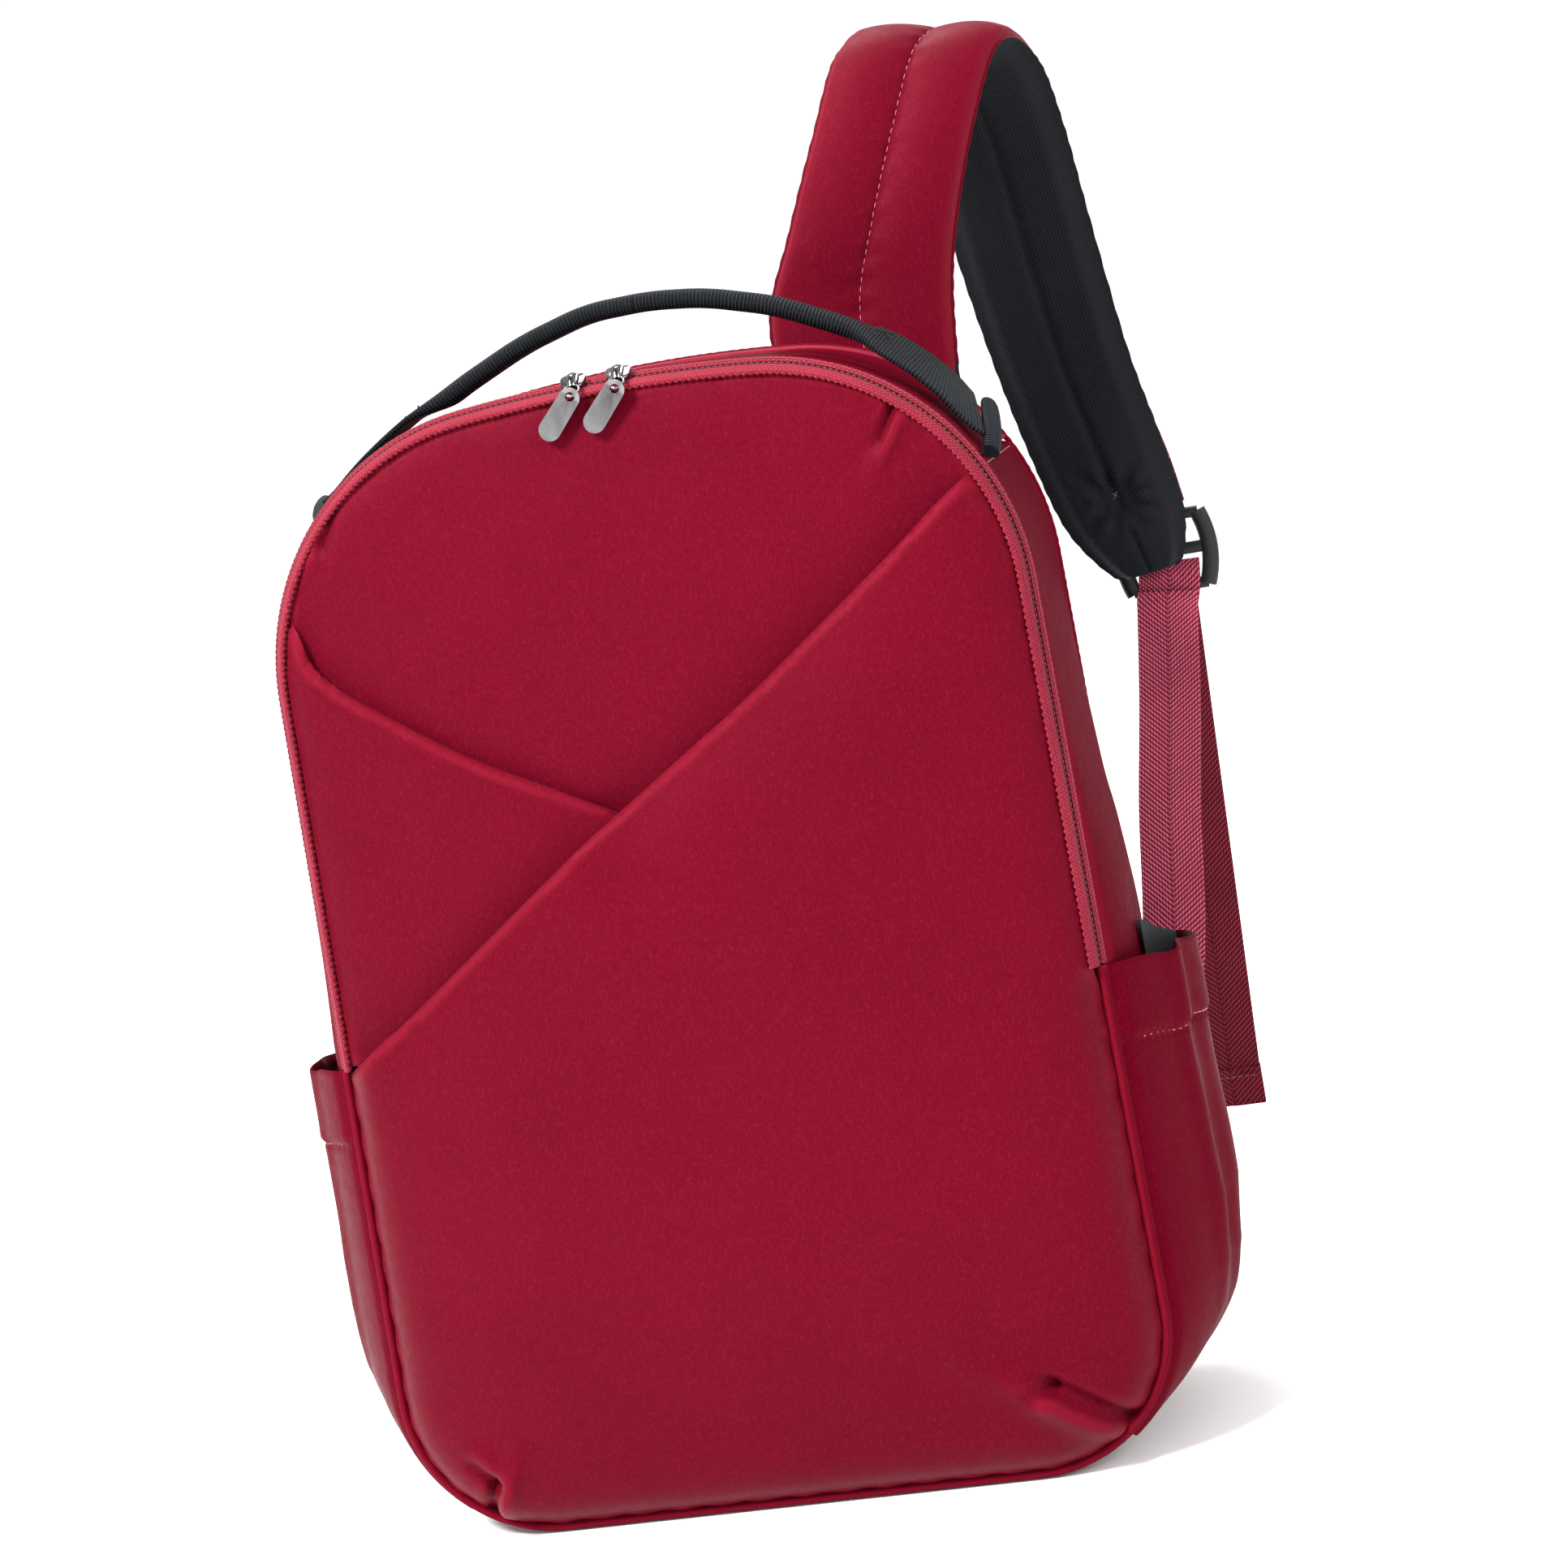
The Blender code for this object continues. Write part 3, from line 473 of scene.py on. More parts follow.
def satin(name, colour, dark, light, rough, weave=0.00055, sheen=0.05, ior=1.22):
    """Woven nylon satin: fine crossing threads, flecks of lighter yarn, slow changes of tone, a painted
    highlight along convex edges.
    """
    look = Look(name, rough, Sheen_Weight=sheen, Sheen_Roughness=0.45, Sheen_Tint=(0.80, 0.08, 0.16, 1.0),
                IOR=ior, Specular_Tint=(1.0, 0.13, 0.22, 1.0))
    spot = look.place()
    slow = look.noise(spot, 11.0, 3.0, 0.55)
    tone = look.mix(look.range(slow, 0.35, 0.75, 0.0, 0.30), colour, dark)
    fleck = look.noise(look.place((1.0, 1.0, 0.34)), 1500.0, 2.0, 0.65)
    tone = look.mix(look.range(fleck, 0.50, 0.78, 0.0, 0.50), tone, light)
    deep = look.noise(look.place((0.36, 1.0, 1.0)), 1250.0, 2.0, 0.6)
    tone = look.mix(look.range(deep, 0.52, 0.78, 0.0, 0.55), tone, dark)
    # Painted highlight: convex edges, found by pointiness, are mixed toward the lighter crimson.
    painted_edge_highlight = look.nodes.new("ShaderNodeNewGeometry").outputs["Pointiness"]
    tone = look.mix(look.range(painted_edge_highlight, 0.512, 0.552, 0.0, 0.50), tone, light)
    x, y, z = look.split(spot)
    warp = look.band(look.math("ADD", x, look.math("MULTIPLY", y, 0.9)), weave)
    weft = look.band(z, weave * 0.86)
    threads = look.math("ADD", look.math("MULTIPLY", warp, weft), look.math("MULTIPLY", fleck, 0.9))
    fine = look.bump(threads, 0.00006, 0.55)
    soft = look.bump(look.noise(look.place((1.0, 1.0, 1.7)), 62.0, 3.0, 0.5), 0.0011, 0.16, fine)
    gloss = look.range(look.noise(spot, 240.0, 3.0, 0.6), 0.25, 0.8, rough - 0.05, rough + 0.10)
    return look.done(tone, gloss, soft)


def zip_tape(name, dark_from, dark_to):
    """Ribbed woven zip tape, dark between two distances across it, where it closes over the coil."""
    look = Look(name, 0.62, Sheen_Weight=0.04, Sheen_Roughness=0.5, Sheen_Tint=(1.0, 0.30, 0.38, 1.0),
                IOR=1.16, Specular_Tint=(1.0, 0.35, 0.40, 1.0))
    u, v, _ = look.split(look.flat())
    ribs = look.band(look.math("MULTIPLY_ADD", v, 0.75, u), 0.00170)
    rows = look.band(v, 0.00150)
    patch = look.noise(look.flat((1.0, 2.4, 1.0)), 900.0, 2.0, 0.6)
    height = look.math("ADD", look.math("MULTIPLY", ribs, rows), look.math("MULTIPLY", patch, 0.7))
    tone = look.mix(look.range(height, 0.18, 1.05), ROSE_DARK, ROSE)
    tone = look.mix(look.range(patch, 0.56, 0.80, 0.0, 0.5), tone, ROSE_LIGHT)
    slow = look.noise(look.place(), 26.0, 2.0)
    tone = look.mix(look.range(slow, 0.40, 0.72, 0.0, 0.28), tone, ROSE_DARK)
    opening = look.range(v, dark_from - 0.0004, dark_from)
    closing = look.math("MULTIPLY", opening, look.range(v, dark_to, dark_to - 0.0004))
    tone = look.mix(closing, tone, (0.012, 0.0005, 0.0015))
    return look.done(tone, look.range(patch, 0.3, 0.8, 0.52, 0.74), look.bump(height, 0.00030, 0.8))


def thread_look(name, colour, pale):
    look = Look(name, 0.55, Sheen_Weight=0.3, Specular_IOR_Level=0.4)
    x, y, z = look.split(look.place())
    twist = look.band(look.math("ADD", x, look.math("ADD", y, z)), 0.00042)
    tone = look.mix(look.math("MULTIPLY", twist, 0.6), colour, pale)
    fuzz = look.noise(look.place(), 1800.0, 2.0)
    tone = look.mix(look.range(fuzz, 0.45, 0.8, 0.0, 0.5), tone, pale)
    return look.done(tone, look.range(fuzz, 0.3, 0.8, 0.45, 0.7), look.bump(twist, 0.00012, 0.7))


def herringbone(name, base, dark, light, slope, pitch, sheen=0.10):
    """Webbing woven as a herringbone about its centre line; slope 0 gives a plain ribbed weave."""
    look = Look(name, 0.5, Sheen_Weight=sheen, Sheen_Roughness=0.4, Sheen_Tint=(1.0, 0.35, 0.45, 1.0),
                IOR=1.30, Specular_Tint=(1.0, 0.40, 0.50, 1.0))
    u, v, _ = look.split(look.flat())
    off = look.math("ABSOLUTE", look.math("SUBTRACT", v, 0.013))
    wobble = look.math("MULTIPLY", look.noise(look.flat(), 700.0, 2.0), 0.0006)
    run = look.math("ADD", look.math("MULTIPLY_ADD", off, slope, u), wobble)
    diagonal = look.band(run, pitch)
    columns = look.band(off, 0.00120)
    lines = look.math("MULTIPLY_ADD", columns, 0.35, look.math("MULTIPLY", diagonal, 0.75))
    tone = look.mix(look.range(lines, 0.16, 0.80), dark, base)
    tone = look.mix(look.range(lines, 0.74, 1.10, 0.0, 0.85), tone, light)
    spine = look.range(off, 0.0001, 0.0009, 0.62, 0.0)
    tone = look.mix(spine, tone, dark)
    slow = look.noise(look.flat((1.0, 0.5, 1.0)), 40.0, 2.0)
    tone = look.mix(look.range(slow, 0.45, 0.75, 0.0, 0.25), tone, dark)
    return look.done(tone, look.range(diagonal, 0.0, 1.0, 0.62, 0.42), look.bump(lines, 0.00042, 0.9))


def air_mesh(name):
    """Black spacer mesh: a fine grid of knitted holes over foam."""
    look = Look(name, 0.72, Sheen_Weight=0.06, Sheen_Roughness=0.4, Sheen_Tint=(0.36, 0.46, 0.62, 1.0),
                IOR=1.22)
    u, v, _ = look.split(look.flat())
    rows = look.band(u, 0.00150)
    columns = look.band(v, 0.00125)
    knit = look.math("MULTIPLY", rows, columns)
    fuzz = look.noise(look.place(), 900.0, 2.0)
    height = look.math("MULTIPLY_ADD", fuzz, 0.35, knit)
    tone = look.mix(look.range(height, 0.15, 0.95), BLACK, BLACK_LIGHT)
    slow = look.noise(look.place(), 22.0, 2.0)
    tone = look.mix(look.range(slow, 0.42, 0.72, 0.0, 0.5), tone, BLACK)
    return look.done(tone, look.range(knit, 0.0, 1.0, 0.62, 0.80), look.bump(height, 0.00038, 0.85))


def lining_cloth(name, colour, light):
    """Plain-woven lining or bound edge in a dark yarn."""
    look = Look(name, 0.7, Sheen_Weight=0.03, Sheen_Roughness=0.5, IOR=1.22)
    x, y, z = look.split(look.place())
    weave = look.math("MULTIPLY", look.band(look.math("ADD", x, y), 0.0008), look.band(z, 0.0007))
    fuzz = look.noise(look.place(), 1100.0, 2.0)
    height = look.math("MULTIPLY_ADD", fuzz, 0.6, weave)
    tone = look.mix(look.range(height, 0.3, 1.2), colour, light)
    slow = look.noise(look.place(), 18.0, 2.0)
    tone = look.mix(look.range(slow, 0.42, 0.72, 0.0, 0.4), tone, colour)
    return look.done(tone, look.range(fuzz, 0.2, 0.8, 0.62, 0.82), look.bump(height, 0.00018, 0.7))


def grosgrain(name):
    """Charcoal grosgrain of the handle: raised ribs straight across, each a bundle of fine threads."""
    look = Look(name, 0.5, Sheen_Weight=0.02, Sheen_Roughness=0.4, Sheen_Tint=(0.55, 0.75, 0.85, 1.0),
                IOR=1.18)
    u, v, _ = look.split(look.flat())
    wobble = look.math("MULTIPLY", look.noise(look.flat((1.0, 0.4, 1.0)), 240.0, 2.0), 0.0011)
    ribs = look.band(look.math("ADD", u, wobble), 0.00140)
    fine = look.band(v, 0.00050)
    fuzz = look.noise(look.place(), 1300.0, 2.0)
    height = look.math("ADD", ribs, look.math("MULTIPLY", look.math("MULTIPLY", fine, ribs), 0.25))
    tone = look.mix(look.range(ribs, 0.30, 0.95), BLACK, CHARCOAL)
    tone = look.mix(look.range(height, 0.80, 1.25, 0.0, 0.80), tone, CHARCOAL_LIGHT)
    tone = look.mix(look.range(fuzz, 0.50, 0.80, 0.0, 0.45), tone, BLACK)
    return look.done(tone, look.range(fuzz, 0.2, 0.8, 0.44, 0.64), look.bump(height, 0.00055, 0.9))


def plastic(name):
    """Matte moulded plastic with a fine spark texture and rubbed edges."""
    look = Look(name, 0.45, IOR=1.33, Coat_Weight=0.03, Coat_Roughness=0.4)
    grain = look.noise(look.place(), 1400.0, 3.0, 0.6)
    rub = look.nodes.new("ShaderNodeNewGeometry").outputs["Pointiness"]
    tone = look.mix(look.range(grain, 0.35, 0.75), (0.0022, 0.0025, 0.0034), (0.0048, 0.0054, 0.0068))
    tone = look.mix(look.range(rub, 0.52, 0.62, 0.0, 0.5), tone, (0.016, 0.018, 0.022))
    slow = look.noise(look.place(), 60.0, 2.0)
    return look.done(tone, look.range(slow, 0.3, 0.7, 0.36, 0.52), look.bump(grain, 0.00010, 0.5))


def chrome(name):
    """Polished plated metal with hairline rubs and slightly cloudy patches; its colour is a painted
    reflection, dark with lighter streaks, and a painted highlight on its rims.
    """
    look = Look(name, 0.12, 1.0)
    hairs = look.noise(look.place((1.0, 1.0, 0.10)), 2400.0, 2.0, 0.6)
    cloud = look.noise(look.place(), 260.0, 3.0, 0.6)
    painted_reflection_streak = look.noise(look.place((1.0, 1.0, 0.22)), 190.0, 1.0, 0.4)
    # Painted reflection: the metal's colour runs from near black to dark grey in streaks.
    tone = look.mix(look.range(painted_reflection_streak, 0.44, 0.60), (0.012, 0.009, 0.010), (0.110, 0.100, 0.105))
    tone = look.mix(look.range(cloud, 0.45, 0.80, 0.0, 0.20), tone, (0.12, 0.11, 0.12))
    # Painted highlight: rims, found by pointiness, are made near white.
    rim = look.nodes.new("ShaderNodeNewGeometry").outputs["Pointiness"]
    tone = look.mix(look.range(rim, 0.53, 0.66, 0.0, 0.9), tone, (0.70, 0.69, 0.70))
    gloss = look.range(cloud, 0.3, 0.75, 0.08, 0.18)
    return look.done(tone, gloss, look.bump(hairs, 0.00003, 0.35))


def make_materials():
    looks = {
        "front": satin("front_satin", CRIMSON, CRIMSON_DARK, CRIMSON_LIGHT, 0.50),
        "side": satin("side_nylon", CRIMSON, CRIMSON_DARK, CRIMSON_LIGHT, 0.50, 0.00055, 0.01, 1.05),
        "pocket": satin("pocket_nylon", CRIMSON, CRIMSON_DARK, CRIMSON_LIGHT, 0.40, 0.00048, 0.02, 1.06),
        "strap": satin("strap_nylon", CRIMSON, CRIMSON_DARK, CRIMSON_LIGHT, 0.48),
        "tape": zip_tape("flap_tape_weave", 0.0078, 0.0200),
        "body_tape": zip_tape("body_tape_weave", -0.0010, 0.0015),
        "rear_tape": zip_tape("rear_tape_weave", 0.0066, 0.0082),
        "thread": thread_look("rose_thread", THREAD, (0.55, 0.15, 0.17)),
        "dark_thread": thread_look("dark_thread", (0.010, 0.012, 0.016), (0.034, 0.040, 0.050)),
        "red_thread": thread_look("crimson_thread", ROSE_DARK, ROSE),
        # Painted light: webbing_herringbone and webbing_tail_weave are two copies of one webbing, the first
        # painted lighter as lit webbing for the adjuster, tabs, loops and wraps, the second painted darker as
        # shade on the tail hanging behind.
        "webbing": herringbone("webbing_herringbone", (0.34, 0.045, 0.085), (0.085, 0.004, 0.012),
                               (0.62, 0.16, 0.23), 0.9, 0.0022),
        "tail": herringbone("webbing_tail_weave", (0.130, 0.0080, 0.0180), (0.032, 0.001, 0.004),
                            ROSE, 0.9, 0.0023),
        "mesh": air_mesh("black_air_mesh"),
        "lining": lining_cloth("black_lining", BLACK, BLACK_LIGHT),
        "binding": lining_cloth("black_binding", (0.0014, 0.0018, 0.0028), (0.0050, 0.0070, 0.0095)),
        "grosgrain": grosgrain("charcoal_grosgrain"),
        "plastic": plastic("matte_plastic"),
        "chrome": chrome("polished_metal"),
        "coil": thread_look("zip_coil", (0.016, 0.001, 0.003), (0.070, 0.004, 0.009)),
    }
    return looks


LOOKS = make_materials()


# Front panels: a height over (x, z), with the seams, folds and darts pressed into it

LEFT_EDGE = [
    (-0.1600, 0.4010), (-0.1356, 0.3695), (-0.1297, 0.3523), (-0.1186, 0.3399), (-0.0986, 0.3250),
    (-0.0713, 0.3066), (-0.0429, 0.2912), (-0.0214, 0.2787),
]
RIGHT_EDGE = [
    (0.1700, 0.4070), (0.1300, 0.3816), (0.1145, 0.3710), (0.0992, 0.3591), (0.0403, 0.3169),
    (0.0134, 0.2997), (-0.0181, 0.2797), (-0.0415, 0.2645), (-0.1122, 0.2146), (-0.1281, 0.2045),
    (-0.1560, 0.1850),
]
PANEL_OUT = -0.0048
PANEL_OUT_LOW = -0.0038


def lower_share(z):
    """0 where the zip tape edges the front, 1 where the front is sewn into the seam below it."""
    return smooth((HINGE_Z + 0.001 - z) / 0.012)


def panel_edge(distance):
    z = edge(distance)[1]
    return edge(distance, PANEL_OUT + (PANEL_OUT_LOW - PANEL_OUT) * lower_share(z))


FRONT_LOOP = [panel_edge(-HALF_LENGTH + 2 * HALF_LENGTH * (k + 0.5) / 720) for k in range(720)]
FRONT_CENTRE = (0.0, sum(p[1] for p in FRONT_LOOP) / len(FRONT_LOOP))


def rim_table():
    """Distance from the centre to the rim by direction, and a tree of rim points."""
    rows = sorted((math.atan2(z - FRONT_CENTRE[1], x), math.hypot(x, z - FRONT_CENTRE[1]))
                  for x, z in FRONT_LOOP)
    tree = kdtree.KDTree(len(FRONT_LOOP))
    for k, (x, z) in enumerate(FRONT_LOOP):
        tree.insert((x, 0.0, z), k)
    tree.balance()
    return np.array([a for a, _ in rows]), np.array([r for _, r in rows]), tree


RIM_ANGLES, RIM_RADII, RIM_TREE = rim_table()


def rim_share(x, z):
    angle = math.atan2(z - FRONT_CENTRE[1], x)
    reach = float(np.interp(angle, RIM_ANGLES, RIM_RADII, period=2 * math.pi))
    return min(math.hypot(x, z - FRONT_CENTRE[1]) / reach, 1.0)


def rim_distance(x, z):
    return RIM_TREE.find((x, 0.0, z))[2]


def smooth_line(points, step=0.002):
    """Rounded polyline with points about a step apart."""
    path = [Vector((x, 0.0, z)) for x, z in points]
    found = []
    for k in range(len(path) - 1):
        before = path[k - 1] if k else path[0] * 2 - path[1]
        after = path[k + 2] if k + 2 < len(path) else path[-1] * 2 - path[-2]
        a, b = path[k], path[k + 1]
        count = max(int((b - a).length / step), 1)
        for j in range(count):
            t = j / count
            bend = (before * 2 - a * 5 + b * 4 - after) * t * t + (a * 3 - before - b * 3 + after) * t ** 3
            spot = (a * 2 + (b - before) * t + bend) * 0.5
            found.append((spot.x, spot.z))
    found.append(points[-1])
    return found


LEFT_LINE = smooth_line(LEFT_EDGE)
RIGHT_LINE = smooth_line(RIGHT_EDGE)


def line_tree(line):
    tree = kdtree.KDTree(len(line))
    for k, (x, z) in enumerate(line):
        tree.insert((x, 0.0, z), k)
    tree.balance()
    return tree


LEFT_TREE = line_tree(smooth_line(LEFT_EDGE, 0.0008))
RIGHT_TREE = line_tree(smooth_line(RIGHT_EDGE, 0.0008))


def line_height(line, x):
    rows = sorted(line)
    return float(np.interp(x, [p[0] for p in rows], [p[1] for p in rows]))


def gather(x, z, start, tip, depth, width, skew=0.0):
    """Dart pressed into a panel: a crease from the seam to a tip, with a puffed bank on one side."""
    ax, az = start
    dx, dz = tip[0] - ax, tip[1] - az
    length = math.hypot(dx, dz)
    t = ((x - ax) * dx + (z - az) * dz) / length ** 2
    q = ((x - ax) * dz - (z - az) * dx) / length
    if t < -0.4 or t > 2.2 or abs(q) > 6 * width:
        return 0.0
    fade = (1 - 0.35 * t) if t < 1 else 0.65 * math.exp(-(((t - 1) * length / (1.3 * width)) ** 2))
    crease = depth * fade * math.exp(-((q / width) ** 2))
    bank_at = (q - 2.0 * width * (1 if skew >= 0 else -1)) / (1.9 * width)
    bank = abs(skew) * depth * math.exp(-(bank_at ** 2)) * math.exp(-(((t - 0.75) / 0.9) ** 2))
    return crease - bank


def darts(x, z):
    total = gather(x, z, (-0.1126, 0.4093), (-0.1187, 0.3947), 0.0036, 0.0017, 0.6)
    total += gather(x, z, (0.1082, 0.4122), (0.0999, 0.3992), 0.0042, 0.0017, -0.7)
    return total


def low_darts(x, z):
    total = gather(x, z, (0.1360, 0.0180), (0.1070, 0.0395), 0.0072, 0.0032, -0.62)
    total += gather(x, z, (0.1060, 0.0400), (0.0990, 0.0385), 0.0034, 0.0030, -0.4)
    total += gather(x, z, (-0.1238, 0.0070), (-0.1160, 0.0250), 0.0070, 0.0026, 0.70)
    total += gather(x, z, (-0.1165, 0.0260), (-0.1230, 0.0335), 0.0036, 0.0024, 0.5)
    return total


def layer(x, z, back, crown):
    """Front face of one panel layer: crowned, and tucked down where it meets the zip tape."""
    distance = rim_distance(x, z)
    share = rim_share(x, z)
    low = lower_share(z)
    face = back - crown * (1 - share ** 3) - 0.0030
    seam = 0.0032 + 0.0040 * low
    return front_y(z) + seam + (face - seam) * (1 - math.exp(-distance / (0.0042 + 0.0008 * low)))


def upper_base(x, z):
    soft = 0.0007 * ripple(x, 0.3, z, 0.055) + 0.0003 * ripple(x, 0.7, z, 0.021)
    return layer(x, z, UPPER_BACK, UPPER_CROWN) + soft + darts(x, z)


def dip(tree, x, z, depth, reach):
    """How far a layer is pressed back beside the fold lying on it."""
    return depth * math.exp(-((tree.find((x, 0.0, z))[2] / reach) ** 2))


def upper_height(x, z):
    near = smooth(rim_distance(x, z) / 0.012)
    grooves = dip(LEFT_TREE, x, z, 0.0026, 0.010) + dip(RIGHT_TREE, x, z, 0.0030, 0.011)
    return upper_base(x, z) + near * grooves


def edge_roll(distance, radius=0.0028):
    """Drop of a folded edge within its own radius."""
    if distance >= radius:
        return 0.0
    share = 1 - distance / radius
    return radius * (1 - math.sqrt(max(1 - share * share, 0.0)))


def left_base(x, z):
    distance = LEFT_TREE.find((x, 0.0, z))[2]
    full = layer(x, z, LEFT_BACK, LEFT_CROWN)
    low = upper_base(x, z) - 0.0036
    settle = math.exp(-((distance / 0.016) ** 1.3))
    soft = 0.0006 * ripple(x, 1.3, z, 0.06) + 0.0003 * ripple(x, 1.9, z, 0.02)
    face = full + (min(low, full + 0.006) - full) * settle + soft
    rim = smooth(rim_distance(x, z) / 0.010)
    face = layer(x, z, LEFT_BACK, LEFT_CROWN) * (1 - rim) + face * rim
    return face + edge_roll(distance)


def left_height(x, z):
    near = smooth(rim_distance(x, z) / 0.012)
    return left_base(x, z) + near * dip(RIGHT_TREE, x, z, 0.0030, 0.011)


def right_height(x, z):
    distance = RIGHT_TREE.find((x, 0.0, z))[2]
    full = layer(x, z, 0.0, RIGHT_CROWN)
    past = smooth((x + 0.040) / 0.034)
    under = left_base(x, z) * (1 - past) + upper_base(x, z) * past
    low = under - 0.0040
    settle = math.exp(-((distance / 0.020) ** 1.3))
    soft = 0.0008 * ripple(x, 2.3, z, 0.07) + 0.0003 * ripple(x, 2.9, z, 0.024)
    face = full + (min(low, full + 0.008) - full) * settle + soft
    rim = smooth(rim_distance(x, z) / 0.010)
    face = full * (1 - rim) + face * rim
    return face + edge_roll(distance) + (low_darts(x, z) if z < 0.09 else 0.0)


def loop_between(low, high, out=None, step=0.0021):
    count = max(int(abs(high - low) / step), 2)
    places = [low + (high - low) * k / count for k in range(count + 1)]
    return [panel_edge(s) if out is None else edge(s, out) for s in places]


def crossing(line, low, high):
    """Outline distance at which the rim crosses a line of the front."""
    side = lambda s: edge(s, PANEL_OUT)[1] - line_height(line, edge(s, PANEL_OUT)[0])
    above = side(high) > 0
    for _ in range(40):
        middle = (low + high) / 2
        if (side(middle) > 0) == above:
            high = middle
        else:
            low = middle
    return (low + high) / 2


def filled(name, border, height, materials, thick=CLOTH, pitch=0.0023):
    """Sewn panel over a closed border of (x, z): fine triangles at the given height, with a face behind."""
    border = [Vector(p) for p in border]
    kept = [border[0]]
    for spot in border[1:]:
        if (spot - kept[-1]).length > pitch * 0.35:
            kept.append(spot)
    if (kept[0] - kept[-1]).length < pitch * 0.35:
        kept.pop()
    count = len(kept)
    xs = [p.x for p in kept]
    zs = [p.y for p in kept]
    near = kdtree.KDTree(count)
    for k, p in enumerate(kept):
        near.insert((p.x, 0.0, p.y), k)
    near.balance()
    inside = []
    row = 0
    z = min(zs)
    while z < max(zs):
        x = min(xs) + (pitch / 2 if row % 2 else 0.0)
        while x < max(xs):
            if near.find((x, 0.0, z))[2] > pitch * 0.62:
                inside.append(Vector((x, z)))
            x += pitch
        z += pitch * 0.866
        row += 1
    edges = [(k, (k + 1) % count) for k in range(count)]
    points, _, faces, _, _, _ = delaunay_2d_cdt(kept + inside, edges, [], 1, 1e-7)
    front = [Vector((p.x, height(p.x, p.y), p.y)) for p in points]
    wound = []
    for face in faces:
        a, b, c = (points[face[0]], points[face[1]], points[face[2]])
        turn = (b.x - a.x) * (c.y - a.y) - (b.y - a.y) * (c.x - a.x)
        wound.append(list(face) if turn > 0 else list(face)[::-1])
    total = len(front)
    back = [Vector((p.x, p.y + thick, p.z)) for p in front]
    all_faces = wound + [[q + total for q in f[::-1]] for f in wound]
    slots = [0] * len(wound) + [len(materials) - 1] * len(wound)
    rim_edges = {}
    for face in wound:
        for k in range(3):
            a, b = face[k], face[(k + 1) % 3]
            rim_edges[(a, b)] = rim_edges.get((a, b), 0) + 1
    for a, b in list(rim_edges):
        if (b, a) not in rim_edges:
            all_faces.append([b, a, a + total, b + total])
            slots.append(0)
    uvs = []
    verts = front + back
    for face in all_faces:
        uvs.extend([(verts[q].x, verts[q].z) for q in face])
    return new_piece(name, verts, all_faces, uvs, materials, slots, 60)


def make_front():
    right_s = crossing(RIGHT_LINE, distance_at(0.33), distance_at(0.425))
    low_left_s = -crossing([(-x, z) for x, z in RIGHT_LINE], distance_at(0.15), distance_at(0.30))
    left_s = -crossing([(-x, z) for x, z in LEFT_LINE], distance_at(0.33), distance_at(0.425))
    right_x = edge(right_s, PANEL_OUT)[0]
    low_x = edge(low_left_s, PANEL_OUT)[0]
    left_x = edge(left_s, PANEL_OUT)[0]

    slash = [p for p in RIGHT_LINE if low_x < p[0] < right_x]
    right = filled("right_slash_panel", loop_between(low_left_s, right_s) + slash, right_height,
                   [LOOKS["front"], LOOKS["lining"]], 0.0020)
    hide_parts("slash_panel_right", "front_panel_lower")
    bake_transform(right)

    tucked = [(x, z - 0.011) for x, z in RIGHT_LINE if x < -0.004 and z - 0.011 > HINGE_Z + 0.001]
    tucked = [p for p in tucked if p[0] > edge(low_left_s, PANEL_OUT)[0] + 0.004]
    left_fold = [p for p in LEFT_LINE if left_x < p[0] < -0.0214] + [(-0.0130, 0.2742), (-0.0040, 0.2690)]
    border = loop_between(-distance_at(HINGE_Z + 0.002), left_s)
    left = filled("left_slash_panel", border + left_fold + tucked, left_height,
                  [LOOKS["front"], LOOKS["lining"]], 0.0018)
    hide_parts("slash_panel_left")
    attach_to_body(left, "front_flap")

    shelf_left = [(x, z - 0.016) for x, z in LEFT_LINE if left_x + 0.006 < x < -0.030]
    shelf_right = [(x, z - 0.016) for x, z in RIGHT_LINE[::-1] if -0.014 < x < right_x - 0.006]
    around = loop_between(right_s - 0.010, 2 * HALF_LENGTH + left_s)
    upper = filled("upper_front_panel", around + shelf_left + shelf_right, upper_height,
                   [LOOKS["front"], LOOKS["lining"]], 0.0012)
    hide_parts("front_panel_upper")
    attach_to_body(upper, "front_flap")

    flap_loop = loop_between(HINGE_S + 0.004, 2 * HALF_LENGTH - HINGE_S - 0.004, -0.0075, 0.004)
    back = filled("flap_lining", flap_loop, lambda x, z: front_y(z) + 0.0060 + 0.0006 * ripple(x, 5, z, 0.05),
                  [LOOKS["lining"]], 0.0008, 0.005)
    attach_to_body(back, "front_flap")
    low_loop = loop_between(-HINGE_S + 0.006, HINGE_S - 0.006, -0.0075, 0.004)
    low_back = filled("lower_front_lining", low_loop, lambda x, z: front_y(z) + 0.0062,
                      [LOOKS["lining"]], 0.0008, 0.005)
    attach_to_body(low_back, "pack")
    return right_s, low_left_s, left_s


# Walls: one lofted band round the bag, with its seams and sag


